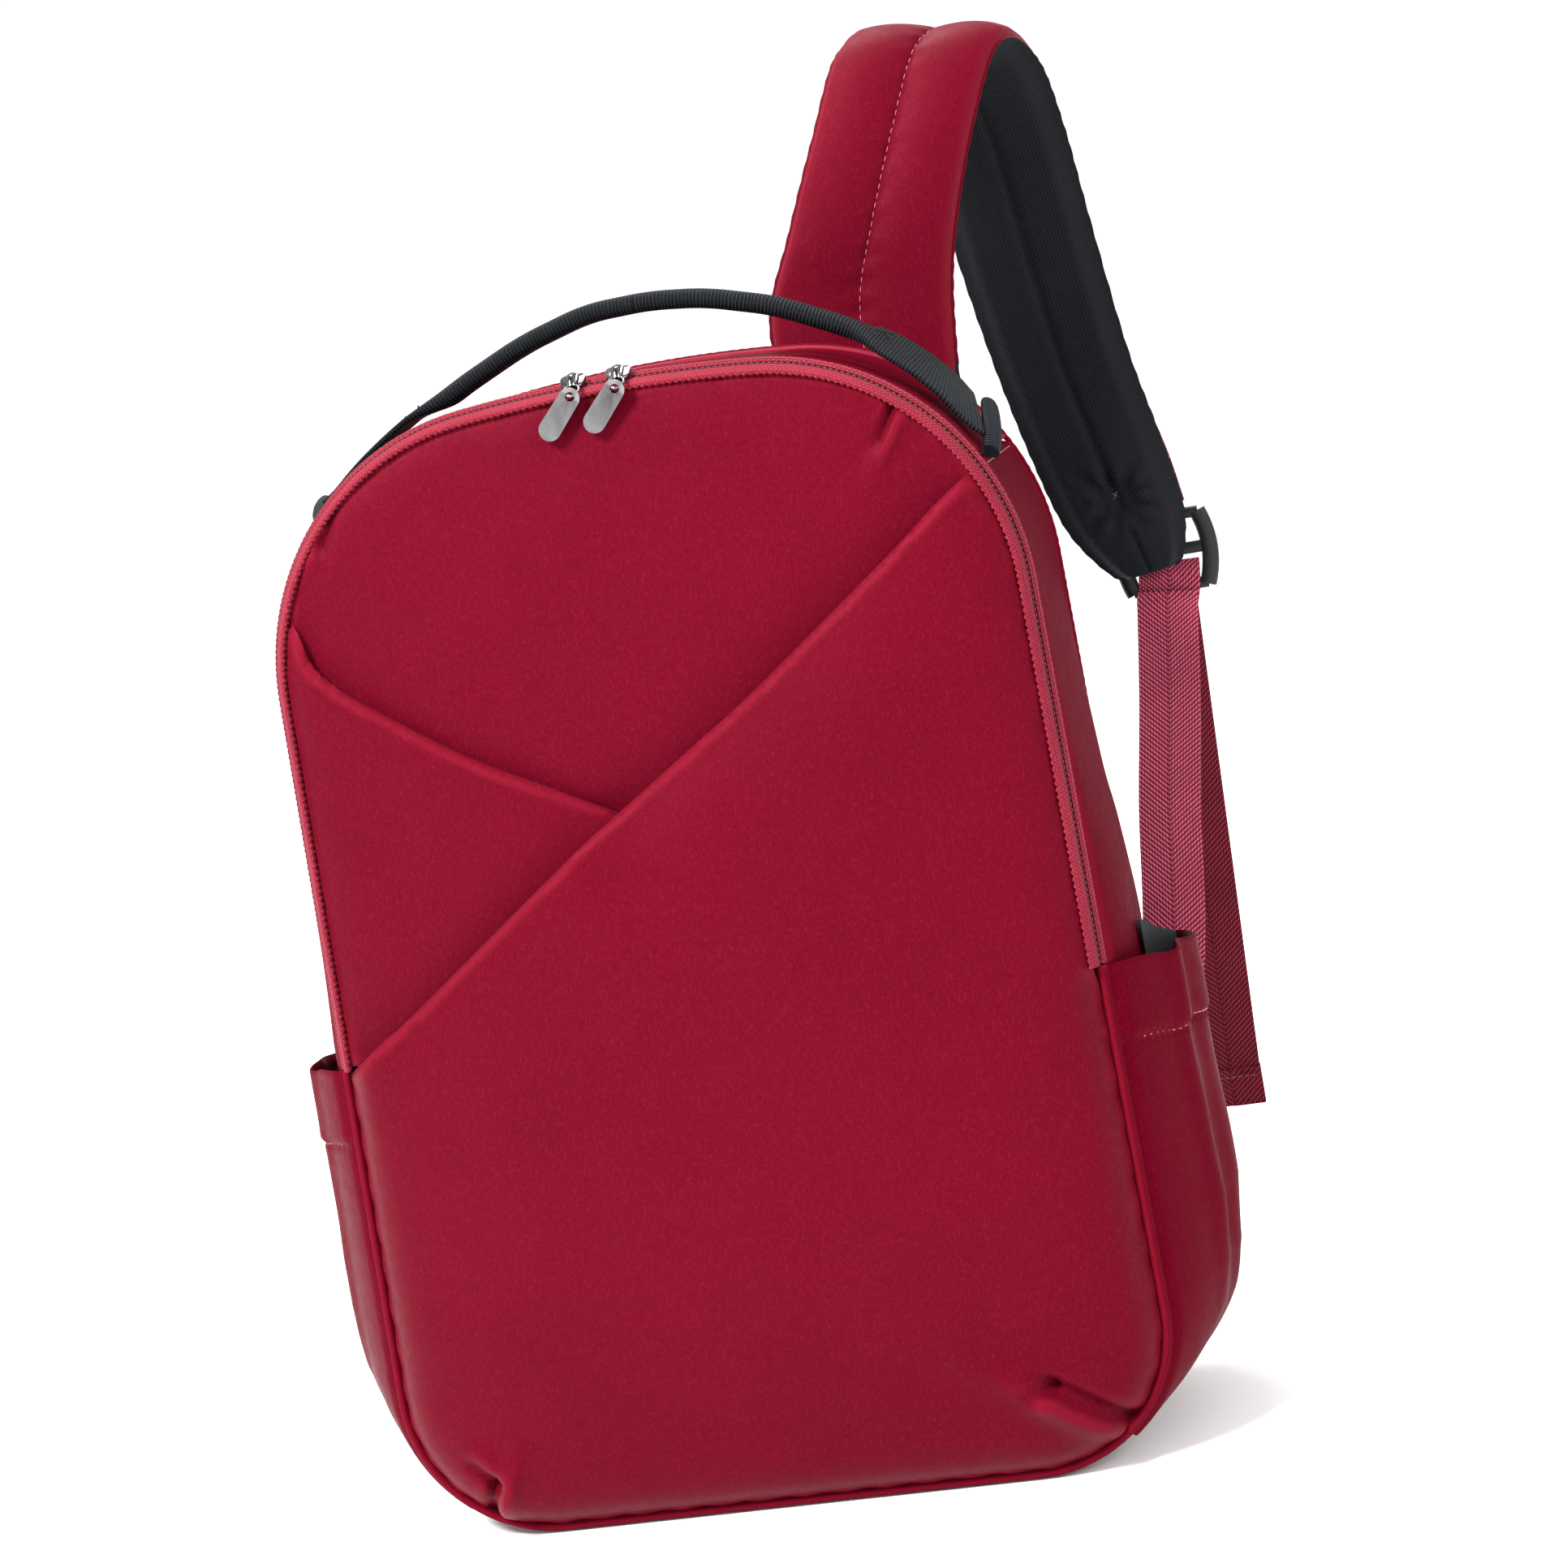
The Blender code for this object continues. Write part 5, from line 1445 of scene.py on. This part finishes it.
def make_strap(name, lefts, rights, steps):
    frames = strap_frames(lefts, rights, steps)
    outer, under, centre, normals = [], [], [], []
    span_length = sum((frames[k + 1][1] - frames[k][1]).length for k in range(steps))
    for along, a, b, normal in frames:
        middle = a.lerp(b, 0.5)
        half = (b - a) / 2 * narrow_end(along)
        full = 0.30 + 0.70 * smooth(along / ROOT_SHARE[name])
        row, low_row = [], []
        for c in range(41):
            across = c / 40
            spot = middle + half * (2 * across - 1)
            pucker = 0.0004 * math.sin(2 * math.pi * along * steps / 5.0)
            to_edge = min(across, 1 - across)
            pucker *= math.exp(-(((across - 0.5) / 0.07) ** 2)) + 0.7 * math.exp(-((to_edge / 0.05) ** 2))
            wave = 0.0007 * ripple(spot.x, spot.y, spot.z, 0.030)
            lift = 0.0034 * lobe(across) * full - 0.0026 + (pucker + wave) * min(1.0, 8 * to_edge)
            edge_drop = 0.0024 * (1 - smooth(to_edge / 0.035))
            row.append(spot + normal * (lift - edge_drop))
        for c in range(33):
            across = c / 32
            spot = middle + half * (2 * across - 1) * 0.995
            rim = smooth(min(across, 1 - across) / 0.16)
            crease = 0.0016 * math.exp(-(((across - 0.5) / 0.035) ** 2))
            soft = 0.0006 * ripple(spot.x, spot.y + 1, spot.z, 0.028)
            along_off = (along - 0.915) * span_length / 0.0095
            across_off = (2 * across - 1) * half.length / 0.0090
            press = 0.0030 * math.exp(-(max(abs(along_off), abs(across_off)) ** 6))
            pucker = 0.0014 * math.sin(9 * math.atan2(along_off, across_off))
            pucker *= math.exp(-((max(abs(along_off), abs(across_off)) - 1.25) / 0.5) ** 2)
            depth = (0.0058 + 0.0054 * rim - crease * rim + soft * rim) * full - press + pucker
            low_row.append(spot - normal * depth)
        outer.append(row)
        under.append(low_row)
        centre.append(row[20] + normal * 0.0002)
        normals.append(normal)

    def attach(piece):
        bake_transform(piece)

    pad = cloth_grid("strap_pad_cloth_" + name, outer, [LOOKS["strap"]], 0.0012, flip=False, sharp=70)
    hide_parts("strap_pad_" + name, "strap_root_" + name)
    attach(pad)
    liner = cloth_grid("strap_mesh_" + name, under, [LOOKS["mesh"]], flip=True, sharp=70)
    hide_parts("strap_lining_" + name)
    attach(liner)

    for side, column in (("inner", 0), ("outer", 40)):
        rim_rows = []
        for (along, a, b, normal), row, low_row in zip(frames, outer, under):
            top = row[column]
            low = low_row[0 if column == 0 else 32]
            away = (row[column] - row[20]).normalized()
            rim = []
            for k in range(7):
                t = k / 6
                belly = (0.0013 + 0.0002 * math.sin(along * steps * 1.9)) * math.sin(math.pi * t)
                rim.append(top.lerp(low, t) + away * belly)
            rim_rows.append(rim)
        for part, span, look, slot in (("rim", slice(0, 4), "strap", "crimson_fabric"),
                                       ("binding", slice(3, 7), "binding", "black_mesh")):
            trim = cloth_grid("strap_%s_%s_%s" % (part, side, name), [row[span] for row in rim_rows],
                              [LOOKS[look]], flip=(column == 0), sharp=80)
            attach(trim)
    seam = stitches("strap_centre_stitches_" + name, centre[4:-12], normals[4:-12], LOOKS["thread"],
                    0.0023, 0.0015, 0.00018)
    attach(seam)

    level = int(0.915 * steps)
    reach = 0.0085
    spot = Vector(under[level][16])
    ahead = (Vector(under[level + 3][16]) - Vector(under[level - 3][16])).normalized()
    side_way = frames[level][3].cross(ahead).normalized()
    corners = [(-1, -1), (1, -1), (1, 1), (-1, 1), (-1, -1), (1, 1), (1, -1), (-1, 1)]
    for thread in range(2):
        size = reach * (1 - 0.16 * thread)
        path = [spot + side_way * a * size + ahead * b * size * 1.1 for a, b in corners]
        path = [p.lerp(q, k / 10) for p, q in zip(path, path[1:]) for k in range(10)]
        path = [p - frames[level][3] * 0.0004 for p in path]
        row = stitches("strap_box_stitch_%d_%s" % (thread, name), path, [-frames[level][3]] * len(path),
                       LOOKS["dark_thread"], 0.0022, 0.0008, 0.00034)
        attach(row)


ADJUSTER_RIGHT = [
    (0.1814, 0.1674, 0.3050), (0.1802, 0.1645, 0.2960), (0.1765, 0.1440, 0.2620), (0.1710, 0.1180, 0.2200),
    (0.1660, 0.0960, 0.1720), (0.1560, 0.0850, 0.1250), (0.1420, 0.0815, 0.0812),
]
ADJUSTER_LEFT = [
    (-0.0985, 0.1120, 0.0935), (-0.1080, 0.1000, 0.0895),
    (-0.1220, 0.0880, 0.0850), (-0.1330, 0.0815, 0.0830),
]
ANCHOR_TAB = [(0.1310, 0.0655, 0.0400), (0.1340, 0.0705, 0.0600), (0.1380, 0.0800, 0.0805)]
WEB_WIDTH = 0.026


def web_strip(name, centres, material, steps, thick=0.0017, width=WEB_WIDTH, flip=False, curl=0.0):
    """Flat woven webbing along a centre line, bowed a little across its width by curl."""
    middle = [Vector(p) for p in centres]
    rows = []
    for k in range(steps + 1):
        along = k / steps
        spot = spline(middle, along)
        ahead = (spline(middle, along + 0.01) - spline(middle, along - 0.01)).normalized()
        side = Vector((1.0, 0.0, 0.0))
        side = (side - ahead * side.dot(ahead)).normalized()
        normal = side.cross(ahead)
        row = []
        for c in range(15):
            across = c / 14 * 2 - 1
            bow = curl * (across * across - 0.4)
            ripple_off = 0.0003 * ripple(along * 0.3, across * 0.01, 3.0, 0.02)
            row.append(spot + side * across * width / 2 + normal * (bow + ripple_off))
        rows.append(row)
    columns = list(map(list, zip(*rows)))
    made = cloth_grid(name, columns, [material], thick, flip=flip, sharp=60)
    return made


def make_webbing():
    for sign, x_near, x_far in ((1, 0.0462, 0.1170), (-1, 0.0462, 0.1170)):
        rows = []
        for r in range(9):
            angle = math.pi * r / 8
            rows.append([(sign * (x_near + (x_far - x_near) * c / 40), 0.0636 + 0.0046 * math.sin(angle),
                          0.3575 - 0.0062 * math.cos(angle)) for c in range(41)])
        side = "right" if sign > 0 else "left"
        band = cloth_grid("strap_root_band_" + side, rows, [LOOKS["strap"]], flip=sign < 0)
        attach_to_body(band, "pack")
    for name, line, sign in (("right", ADJUSTER_RIGHT, 1), ("left", ADJUSTER_LEFT, -1)):
        web = web_strip("adjuster_strap_" + name, line, LOOKS["webbing"], 60, curl=0.0006)
        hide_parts("adjuster_webbing_" + name)
        top, low = Vector(line[-2]), Vector(line[-1])
        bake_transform(web)
        tab_line = [(sign * x, y, z) for x, y, z in ANCHOR_TAB]
        tab = web_strip("anchor_tab_weave_" + name, tab_line, LOOKS["webbing"], 16)
        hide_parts("anchor_tab_" + name)
        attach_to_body(tab, "pack")
    loops = {"right": [(0.1730, 0.1770, 0.3800), (0.1780, 0.1765, 0.3600), (0.1815, 0.1740, 0.3400)],
             "left": [(-0.0965, 0.1165, 0.1480), (-0.0972, 0.1160, 0.1400), (-0.0976, 0.1155, 0.1320)]}
    for name, line in loops.items():
        web = web_strip("strap_end_loop_" + name, line, LOOKS["webbing"], 14)
        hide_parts("strap_loop_" + name)
        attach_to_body(web, "strap_" + name)
    wraps = {"right": [(0.1835, 0.1748, 0.3172), (0.1832, 0.1706, 0.3120),
                       (0.1822, 0.1702, 0.3060), (0.1810, 0.1692, 0.3018)],
             "left": [(-0.0980, 0.1162, 0.1092), (-0.0980, 0.1120, 0.1040), (-0.0980, 0.1116, 0.0985),
                      (-0.0983, 0.1112, 0.0948)]}
    for name, line in wraps.items():
        web = web_strip("lock_wrap_" + name, line, LOOKS["webbing"], 16)
        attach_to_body(web, "lock_" + name)
    ends = {"right": (0.1800, 0.1775, 0.3010, 0.0905, 0.0060), "left": (-0.0980, 0.1190, 0.0935, 0.0420, 0.0)}
    for name, (x, y, top, low, drift) in ends.items():
        line = [(x, y, top), (x - drift * 0.5, y + 0.001, (top + low) / 2), (x - drift, y, low)]
        # The tail and its hem take the darker copy of the webbing, painted shade.
        tail = web_strip("webbing_tail_weave_" + name, line, LOOKS["tail"], 60, curl=0.0004)
        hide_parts("webbing_tail_" + name)
        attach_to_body(tail, "tail_" + name)
        hem_line = [(x - drift, y, low + 0.0006), (x - drift, y + 0.0003, low - 0.008),
                    (x - drift, y, low - 0.0158)]
        hem = web_strip("tail_hem_fold_" + name, hem_line, LOOKS["tail"], 12,
                        thick=0.0040, width=WEB_WIDTH + 0.0004)
        for vertex in hem.data.vertices:
            vertex.co.y += 0.0011 * (0 if vertex.co.y > y else -1)
        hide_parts("tail_hem_" + name)
        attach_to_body(hem, "tail_" + name)
        path = [(x - drift - 0.0125 + 0.025 * k / 12, y - 0.0032, low - 0.0022) for k in range(13)]
        row = stitches("tail_hem_stitches_" + name, path, [(0, -1, 0)] * 13, LOOKS["red_thread"],
                       0.0020, 0.0009, 0.0003)
        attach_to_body(row, "tail_" + name)


# Ladder locks


def rounded_bar(made, a, b, wide, deep, around=12, bow=Vector((0.0, 0.0, 0.0)), steps=14):
    """Adds a rounded bar from a to b to a bmesh, bowed sideways in the middle."""
    a, b = Vector(a), Vector(b)
    rings = []
    forward = (b - a).normalized()
    for k in range(steps + 1):
        t = k / steps
        spot = a.lerp(b, t) + bow * (1 - (2 * t - 1) ** 2)
        ahead = (forward + bow * (-4 * (2 * t - 1)) / (b - a).length).normalized()
        up = Vector((0.0, 1.0, 0.0))
        side = ahead.cross(up).normalized()
        ring = []
        for c in range(around):
            angle = 2 * math.pi * c / around
            x = math.copysign(abs(math.cos(angle)) ** 0.6, math.cos(angle)) * wide / 2
            y = math.copysign(abs(math.sin(angle)) ** 0.6, math.sin(angle)) * deep / 2
            ring.append(made.verts.new(spot + side * x + up * y))
        rings.append(ring)
    for first_ring, second_ring in zip(rings, rings[1:]):
        for c in range(around):
            d = (c + 1) % around
            made.faces.new([first_ring[c], first_ring[d], second_ring[d], second_ring[c]])
    made.faces.new(rings[0][::-1])
    made.faces.new(rings[-1])


def from_bmesh(name, made, material, sharp=45):
    bmesh.ops.recalc_face_normals(made, faces=made.faces)
    mesh = bpy.data.meshes.new(name)
    made.to_mesh(mesh)
    made.free()
    mesh.materials.append(material)
    mesh.shade_smooth()
    mesh.set_sharp_from_angle(angle=math.radians(sharp))
    item = bpy.data.objects.new(name, mesh)
    bpy.context.scene.collection.objects.link(item)
    return item


def make_locks():
    for name in ("right", "left"):
        low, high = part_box("ladder_lock_" + name)
        centre = (low + high) / 2
        made = bmesh.new()
        for sign in (-1, 1):
            top = centre + Vector((sign * 0.0158, 0.0, 0.0158))
            bottom = centre + Vector((sign * 0.0158, 0.0, -0.0158))
            rounded_bar(made, top, bottom, 0.0072, 0.0062, bow=Vector((sign * 0.0030, 0.0, 0.0)), steps=20)
        bars = ((0.0155, 0.0048, 0.0044), (0.0005, 0.0052, 0.0036), (-0.0150, 0.0050, 0.0044))
        for shift, wide, deep in bars:
            a = centre + Vector((-0.0160, 0.0, shift))
            b = centre + Vector((0.0160, 0.0, shift))
            rounded_bar(made, a, b, wide, deep)
        lip_a = centre + Vector((-0.0120, -0.0010, -0.0172))
        lip_b = centre + Vector((0.0120, -0.0010, -0.0172))
        rounded_bar(made, lip_a, lip_b, 0.0016, 0.0020)
        lock = from_bmesh("ladder_lock_frame_" + name, made, LOOKS["plastic"])
        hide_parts("ladder_lock_" + name)
        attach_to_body(lock, "lock_" + name)


# Sliders, rings and pulls


def slider_axes(x):
    centre_z = HEIGHT - CROWN_RADIUS
    angle = math.asin(x / CROWN_RADIUS)
    across = Vector((math.sin(angle), 0.0, math.cos(angle)))
    radius = CROWN_RADIUS - 0.0018
    top_z = centre_z + radius * math.cos(angle)
    coil = Vector((radius * math.sin(angle), front_y(top_z) + 0.0060, top_z))
    down = (Vector((0.0, -0.817, 0.0)) - across * 0.577).normalized()
    normal = (Vector((0.0, -0.577, 0.0)) + across * 0.817).normalized()
    track = down.cross(normal).normalized()
    return coil + normal * 0.0029, track, normal, down


def slab(made, centre, axes, size, corner, taper=1.0, segments=4):
    """Adds a rounded, bevelled slab to a bmesh; axes are its width, thickness and length directions."""
    part = bmesh.new()
    bmesh.ops.create_cube(part, size=1.0)
    bmesh.ops.scale(part, vec=size, verts=part.verts)
    for vertex in part.verts:
        if vertex.co.z > 0:
            vertex.co.x *= taper
    upright = [e for e in part.edges if abs(e.verts[0].co.y - e.verts[1].co.y) > size[1] * 0.5]
    bmesh.ops.bevel(part, geom=upright, offset=corner, segments=segments, profile=0.5, affect="EDGES")
    sharp = [e for e in part.edges if len(e.link_faces) == 2 and e.calc_face_angle(0) > 1.0]
    bmesh.ops.bevel(part, geom=sharp, offset=min(size) * 0.22, segments=2, profile=0.5, affect="EDGES")
    turn = Matrix(axes).transposed().to_4x4()
    turn.translation = centre
    bmesh.ops.transform(part, matrix=turn, verts=part.verts)
    mesh = bpy.data.meshes.new("slab")
    part.to_mesh(mesh)
    part.free()
    made.from_mesh(mesh)
    bpy.data.meshes.remove(mesh)


def ring_into(made, centre, axes, reach, girth, count=40, sides=12, stretch=1.0):
    """Adds a wire ring to a bmesh, round in the plane of the first and last axis."""
    verts = []
    for a in range(count):
        big = 2 * math.pi * a / count
        row = []
        for b in range(sides):
            small = 2 * math.pi * b / sides
            out = reach + girth * math.cos(small)
            local = axes[0] * out * math.cos(big) + axes[2] * out * math.sin(big) * stretch
            row.append(made.verts.new(centre + local + axes[1] * girth * math.sin(small)))
        verts.append(row)
    for a in range(count):
        for b in range(sides):
            c, d = (a + 1) % count, (b + 1) % sides
            made.faces.new([verts[a][b], verts[c][b], verts[c][d], verts[a][d]])


def tab_outline(length, width, count=12):
    """Rounded tab outline with a wide round end and a narrower ring end, as (across, along)."""
    points = []
    narrow = width * 0.47
    for k in range(count + 1):
        angle = math.pi * k / count
        points.append((width / 2 * math.cos(angle), length / 2 - width / 2 + width / 2 * math.sin(angle)))
    for k in range(count + 1):
        angle = math.pi + math.pi * k / count
        points.append((narrow * math.cos(angle), -length / 2 + narrow + narrow * math.sin(angle)))
    return points


def make_tab(name, centre, axes, length, width, thick, material):
    """Pull tab: a plate with a round eye cut through it at its ring end."""
    outline = tab_outline(length, width)
    turns = [2 * math.pi * k / 18 for k in range(18)]
    eye = [(0.0018 * math.cos(turn), -length / 2 + 0.0034 + 0.0018 * math.sin(turn)) for turn in turns]
    points = [Vector(p) for p in outline + eye]
    count, hole = len(outline), len(eye)
    edges = [(k, (k + 1) % count) for k in range(count)]
    edges += [(count + k, count + (k + 1) % hole) for k in range(hole)]
    flat, _, faces, _, _, _ = delaunay_2d_cdt(points, edges, [], 1, 1e-8)
    middle_eye = Vector((0.0, -length / 2 + 0.0034))
    kept = []
    for face in faces:
        centroid = sum((flat[i] for i in face), Vector((0.0, 0.0))) / len(face)
        if (centroid - middle_eye).length > 0.0017:
            kept.append(list(face))
    made = bmesh.new()
    sheets = []
    for side in (-1, 1):
        sheets.append([made.verts.new(centre + axes[0] * p.x + axes[2] * p.y + axes[1] * side * thick / 2)
                       for p in flat])
    for face in kept:
        made.faces.new([sheets[0][i] for i in face])
        made.faces.new([sheets[1][i] for i in face[::-1]])
    used = {}
    for face in kept:
        for k in range(len(face)):
            pair = (face[k], face[(k + 1) % len(face)])
            used[pair] = True
    for a, b in list(used):
        if (b, a) not in used:
            made.faces.new([sheets[0][a], sheets[0][b], sheets[1][b], sheets[1][a]])
    rim = [e for e in made.edges if len(e.link_faces) == 2 and e.calc_face_angle(0) > 1.0]
    bmesh.ops.bevel(made, geom=rim, offset=thick * 0.28, segments=2, profile=0.5, affect="EDGES")
    return from_bmesh(name, made, material, 40)


def make_sliders():
    for name, x in (("left", -0.0105), ("right", 0.0070)):
        middle, track, normal, down = slider_axes(x)
        axes = (track, normal, down)
        made = bmesh.new()
        slab(made, middle - normal * 0.0004, axes, (0.0108, 0.0016, 0.0076), 0.0026, 0.78)
        slab(made, middle + normal * 0.0008, axes, (0.0050, 0.0014, 0.0062), 0.0014, 0.9)
        rounded_bridge(made, middle, axes)
        body = from_bmesh("zip_slider_body_" + name, made, LOOKS["chrome"], 40)
        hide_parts("main_slider_" + name)
        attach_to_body(body, "slider_" + name)

        ring_centre = middle + down * 0.0066 + normal * 0.0006
        made = bmesh.new()
        ring_into(made, ring_centre, axes, 0.0030, 0.00070)
        ring = from_bmesh("zip_pull_ring_" + name, made, LOOKS["chrome"], 80)
        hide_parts("pull_ring_" + name)
        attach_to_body(ring, "ring_" + name)

        lean = math.radians(42.0)
        drop = Vector((-math.sin(lean), -LEAN / HEIGHT, -math.cos(lean))).normalized()
        face = Vector((0.0, -1.0, -LEAN / HEIGHT)).normalized()
        face = (face - drop * face.dot(drop)).normalized()
        wide = drop.cross(face).normalized()
        centre = ring_centre + down * 0.0030 + drop * (0.0222 / 2 - 0.0030)
        tab = make_tab("zip_pull_tab_" + name, centre, (wide, face, drop), 0.0222, 0.0086, 0.0014,
                       LOOKS["chrome"])
        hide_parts("pull_tab_" + name)
        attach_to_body(tab, "tab_" + name)

    angle = math.radians(35.0)
    outward = Vector((-math.cos(angle), 0.0, math.sin(angle)))
    down = Vector((-math.sin(angle), 0.0, -math.cos(angle)))
    side = down.cross(outward)
    y = BACK_Y - BINDING - 0.0003 - REAR_ZIP_WIDTH / 2
    centre = Vector((-0.0484, y, 0.3378)) + outward * (SHOULDER_RADIUS + 0.0022)
    axes = (side, outward, down)
    made = bmesh.new()
    slab(made, centre - outward * 0.0004, axes, (0.0074, 0.0016, 0.0108), 0.0022, 0.85)
    slab(made, centre + outward * 0.0008, axes, (0.0044, 0.0013, 0.0080), 0.0014, 0.9)
    body = from_bmesh("rear_zip_slider_body", made, LOOKS["chrome"], 40)
    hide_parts("rear_slider")
    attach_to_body(body, "rear_slider")
    place = centre + down * 0.0187 + outward * 0.0008
    tab = make_tab("rear_zip_pull_tab", place, axes, 0.0230, 0.0090, 0.0014, LOOKS["chrome"])
    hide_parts("rear_pull")
    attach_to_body(tab, "rear_pull")


def rounded_bridge(made, middle, axes):
    """Arched bridge over a slider, which holds the ring."""
    track, normal, down = axes
    rings = []
    for k in range(15):
        t = k / 14
        spot = middle + down * (-0.0032 + 0.0072 * t) + normal * (0.0010 + 0.0016 * math.sin(math.pi * t))
        ahead = (down * 0.0072 + normal * 0.0016 * math.pi * math.cos(math.pi * t)).normalized()
        up = track.cross(ahead).normalized()
        ring = []
        for c in range(10):
            angle = 2 * math.pi * c / 10
            ring.append(made.verts.new(spot + track * math.cos(angle) * 0.0014
                                       + up * math.sin(angle) * 0.0006))
        rings.append(ring)
    for first_ring, second_ring in zip(rings, rings[1:]):
        for c in range(10):
            d = (c + 1) % 10
            made.faces.new([first_ring[c], first_ring[d], second_ring[d], second_ring[c]])
    made.faces.new(rings[0][::-1])
    made.faces.new(rings[-1])


# Cloth as it is cut: width, length, flat area where the cut isn't a rectangle, how it is held and by what

SHEETS = {
    "right_slash_panel": (0.300, 0.385, 0.0885, "stretched", "flap_zip_tape"),
    "left_slash_panel": (0.145, 0.180, 0.0123, "stretched", "flap_zip_tape"),
    "upper_front_panel": (0.275, 0.170, 0.0320, "stretched", "flap_zip_tape"),
    "flap_lining": (0.288, 0.237, 0.0625, "stretched", "flap_zip_tape"),
    "lower_front_lining": (0.292, 0.182, 0.0512, "stretched", "front_lower_piping"),
    "laptop_sleeve_wall": (0.294, 0.428, 0.1180, "hung", "side_and_top_wall"),
    "back_mesh_panel": (0.302, 0.435, 0.1225, "stretched", "back_edge_binding"),
    "side_and_top_wall": (0.113, 1.290, None, "stretched", "back_edge_binding"),
    "flap_zip_tape": (0.010, 0.660, None, "stretched", "upper_front_panel"),
    "strap_mesh_right": (0.064, 0.445, None, "stretched", "strap_pad_cloth_right"),
    "strap_mesh_left": (0.062, 0.330, None, "stretched", "strap_pad_cloth_left"),
    "handle_webbing_left": (0.046, 0.150, None, "folded", "side_and_top_wall"),
    "handle_webbing_right": (0.046, 0.150, None, "folded", "side_and_top_wall"),
    "adjuster_strap_right": (0.026, 0.255, None, "hung", "ladder_lock_frame_right"),
    "adjuster_strap_left": (0.026, 0.050, None, "hung", "ladder_lock_frame_left"),
    "strap_end_loop_right": (0.026, 0.043, None, "folded", "strap_pad_cloth_right"),
    "strap_end_loop_left": (0.026, 0.018, None, "folded", "strap_pad_cloth_left"),
    "webbing_tail_weave_right": (0.026, 0.213, None, "hung", "ladder_lock_frame_right"),
    "webbing_tail_weave_left": (0.026, 0.053, None, "hung", "ladder_lock_frame_left"),
}
PAIRED_SHEETS = {
    "side_pocket_cloth": (0.118, 0.215, None, "gathered", "side_and_top_wall"),
    "pocket_lining": (0.112, 0.180, None, "gathered", "side_and_top_wall"),
    "pocket_gore": (0.080, 0.085, 0.0054, "stretched", "side_and_top_wall"),
    "anchor_tab_weave": (0.026, 0.047, None, "stretched", "side_and_top_wall"),
    "lock_wrap": (0.026, 0.018, None, "folded", "side_and_top_wall"),
}


def declare_sheets():
    sheets = dict(SHEETS)
    for name, facts in PAIRED_SHEETS.items():
        for side in ("left", "right"):
            sheets[name + "_" + side] = facts


# Floor, light and camera


def make_stage():
    look = Look("pale_floor", 0.9, Specular_IOR_Level=0.1)
    tone = look.mix(look.noise(look.place(), 3.0), (0.955, 0.955, 0.955), (0.97, 0.97, 0.97))
    material = look.done(tone)
    bpy.ops.mesh.primitive_plane_add(size=12.0, location=(0.0, 0.0, -0.0004))
    floor = bpy.context.object
    floor.name = "studio_floor"
    floor.data.materials.append(material)
    world = bpy.data.worlds.new("soft_studio")
    world.use_nodes = True
    world.node_tree.nodes["Background"].inputs["Color"].default_value = (1.0, 1.0, 1.0, 1.0)
    world.node_tree.nodes["Background"].inputs["Strength"].default_value = 1.06
    bpy.context.scene.world = world
    lights = (
        ("key", (-1.05, -1.45, 1.95), 0.8, 140.0),
        ("fill", (1.7, -1.2, 1.3), 1.0, 26.0),
        ("top", (-0.2, 0.5, 2.1), 0.9, 34.0),
    )
    for name, place, size, power in lights:
        data = bpy.data.lights.new(name, "AREA")
        data.shape = "DISK"
        data.size = size
        data.energy = power
        lamp = bpy.data.objects.new(name, data)
        bpy.context.scene.collection.objects.link(lamp)
        lamp.location = place
        aim = Vector((0.0, 0.0, 0.25)) - Vector(place)
        lamp.rotation_euler = aim.to_track_quat("-Z", "Y").to_euler()


def make_camera():
    level = math.cos(CAMERA_PITCH)
    forward = Vector((-math.sin(CAMERA_YAW) * level, math.cos(CAMERA_YAW) * level,
                      -math.sin(CAMERA_PITCH)))
    right = Vector((math.cos(CAMERA_YAW), math.sin(CAMERA_YAW), 0.0))
    up = right.cross(forward)
    turned = right * math.cos(CAMERA_ROLL) + up * math.sin(CAMERA_ROLL)
    upright = up * math.cos(CAMERA_ROLL) - right * math.sin(CAMERA_ROLL)
    data = bpy.data.cameras.new("camera")
    data.lens = CAMERA_LENS
    data.sensor_width = 36.0
    data.shift_x, data.shift_y = CAMERA_SHIFT
    camera = bpy.data.objects.new("camera", data)
    bpy.context.scene.collection.objects.link(camera)
    pose = Matrix((turned, upright, -forward)).transposed().to_4x4()
    pose.translation = CAMERA_TARGET - forward * CAMERA_DISTANCE
    camera.matrix_world = pose
    bpy.context.scene.camera = camera


make_front()
make_walls()
make_rim()
make_pocket("right", 1)
make_pocket("left", -1)
make_back()
make_handle()
make_strap("right", RAISED_LEFT, RAISED_RIGHT, 190)
make_strap("left", [(x - w / 2, y, z) for (x, y, z), w in zip(HUNG_CENTRE, HUNG_WIDTH)],
           [(x + w / 2, y, z) for (x, y, z), w in zip(HUNG_CENTRE, HUNG_WIDTH)], 150)
make_webbing()
make_locks()
make_sliders()
declare_sheets()
make_stage()
make_camera()
bpy.context.scene.view_settings.view_transform = "Standard"
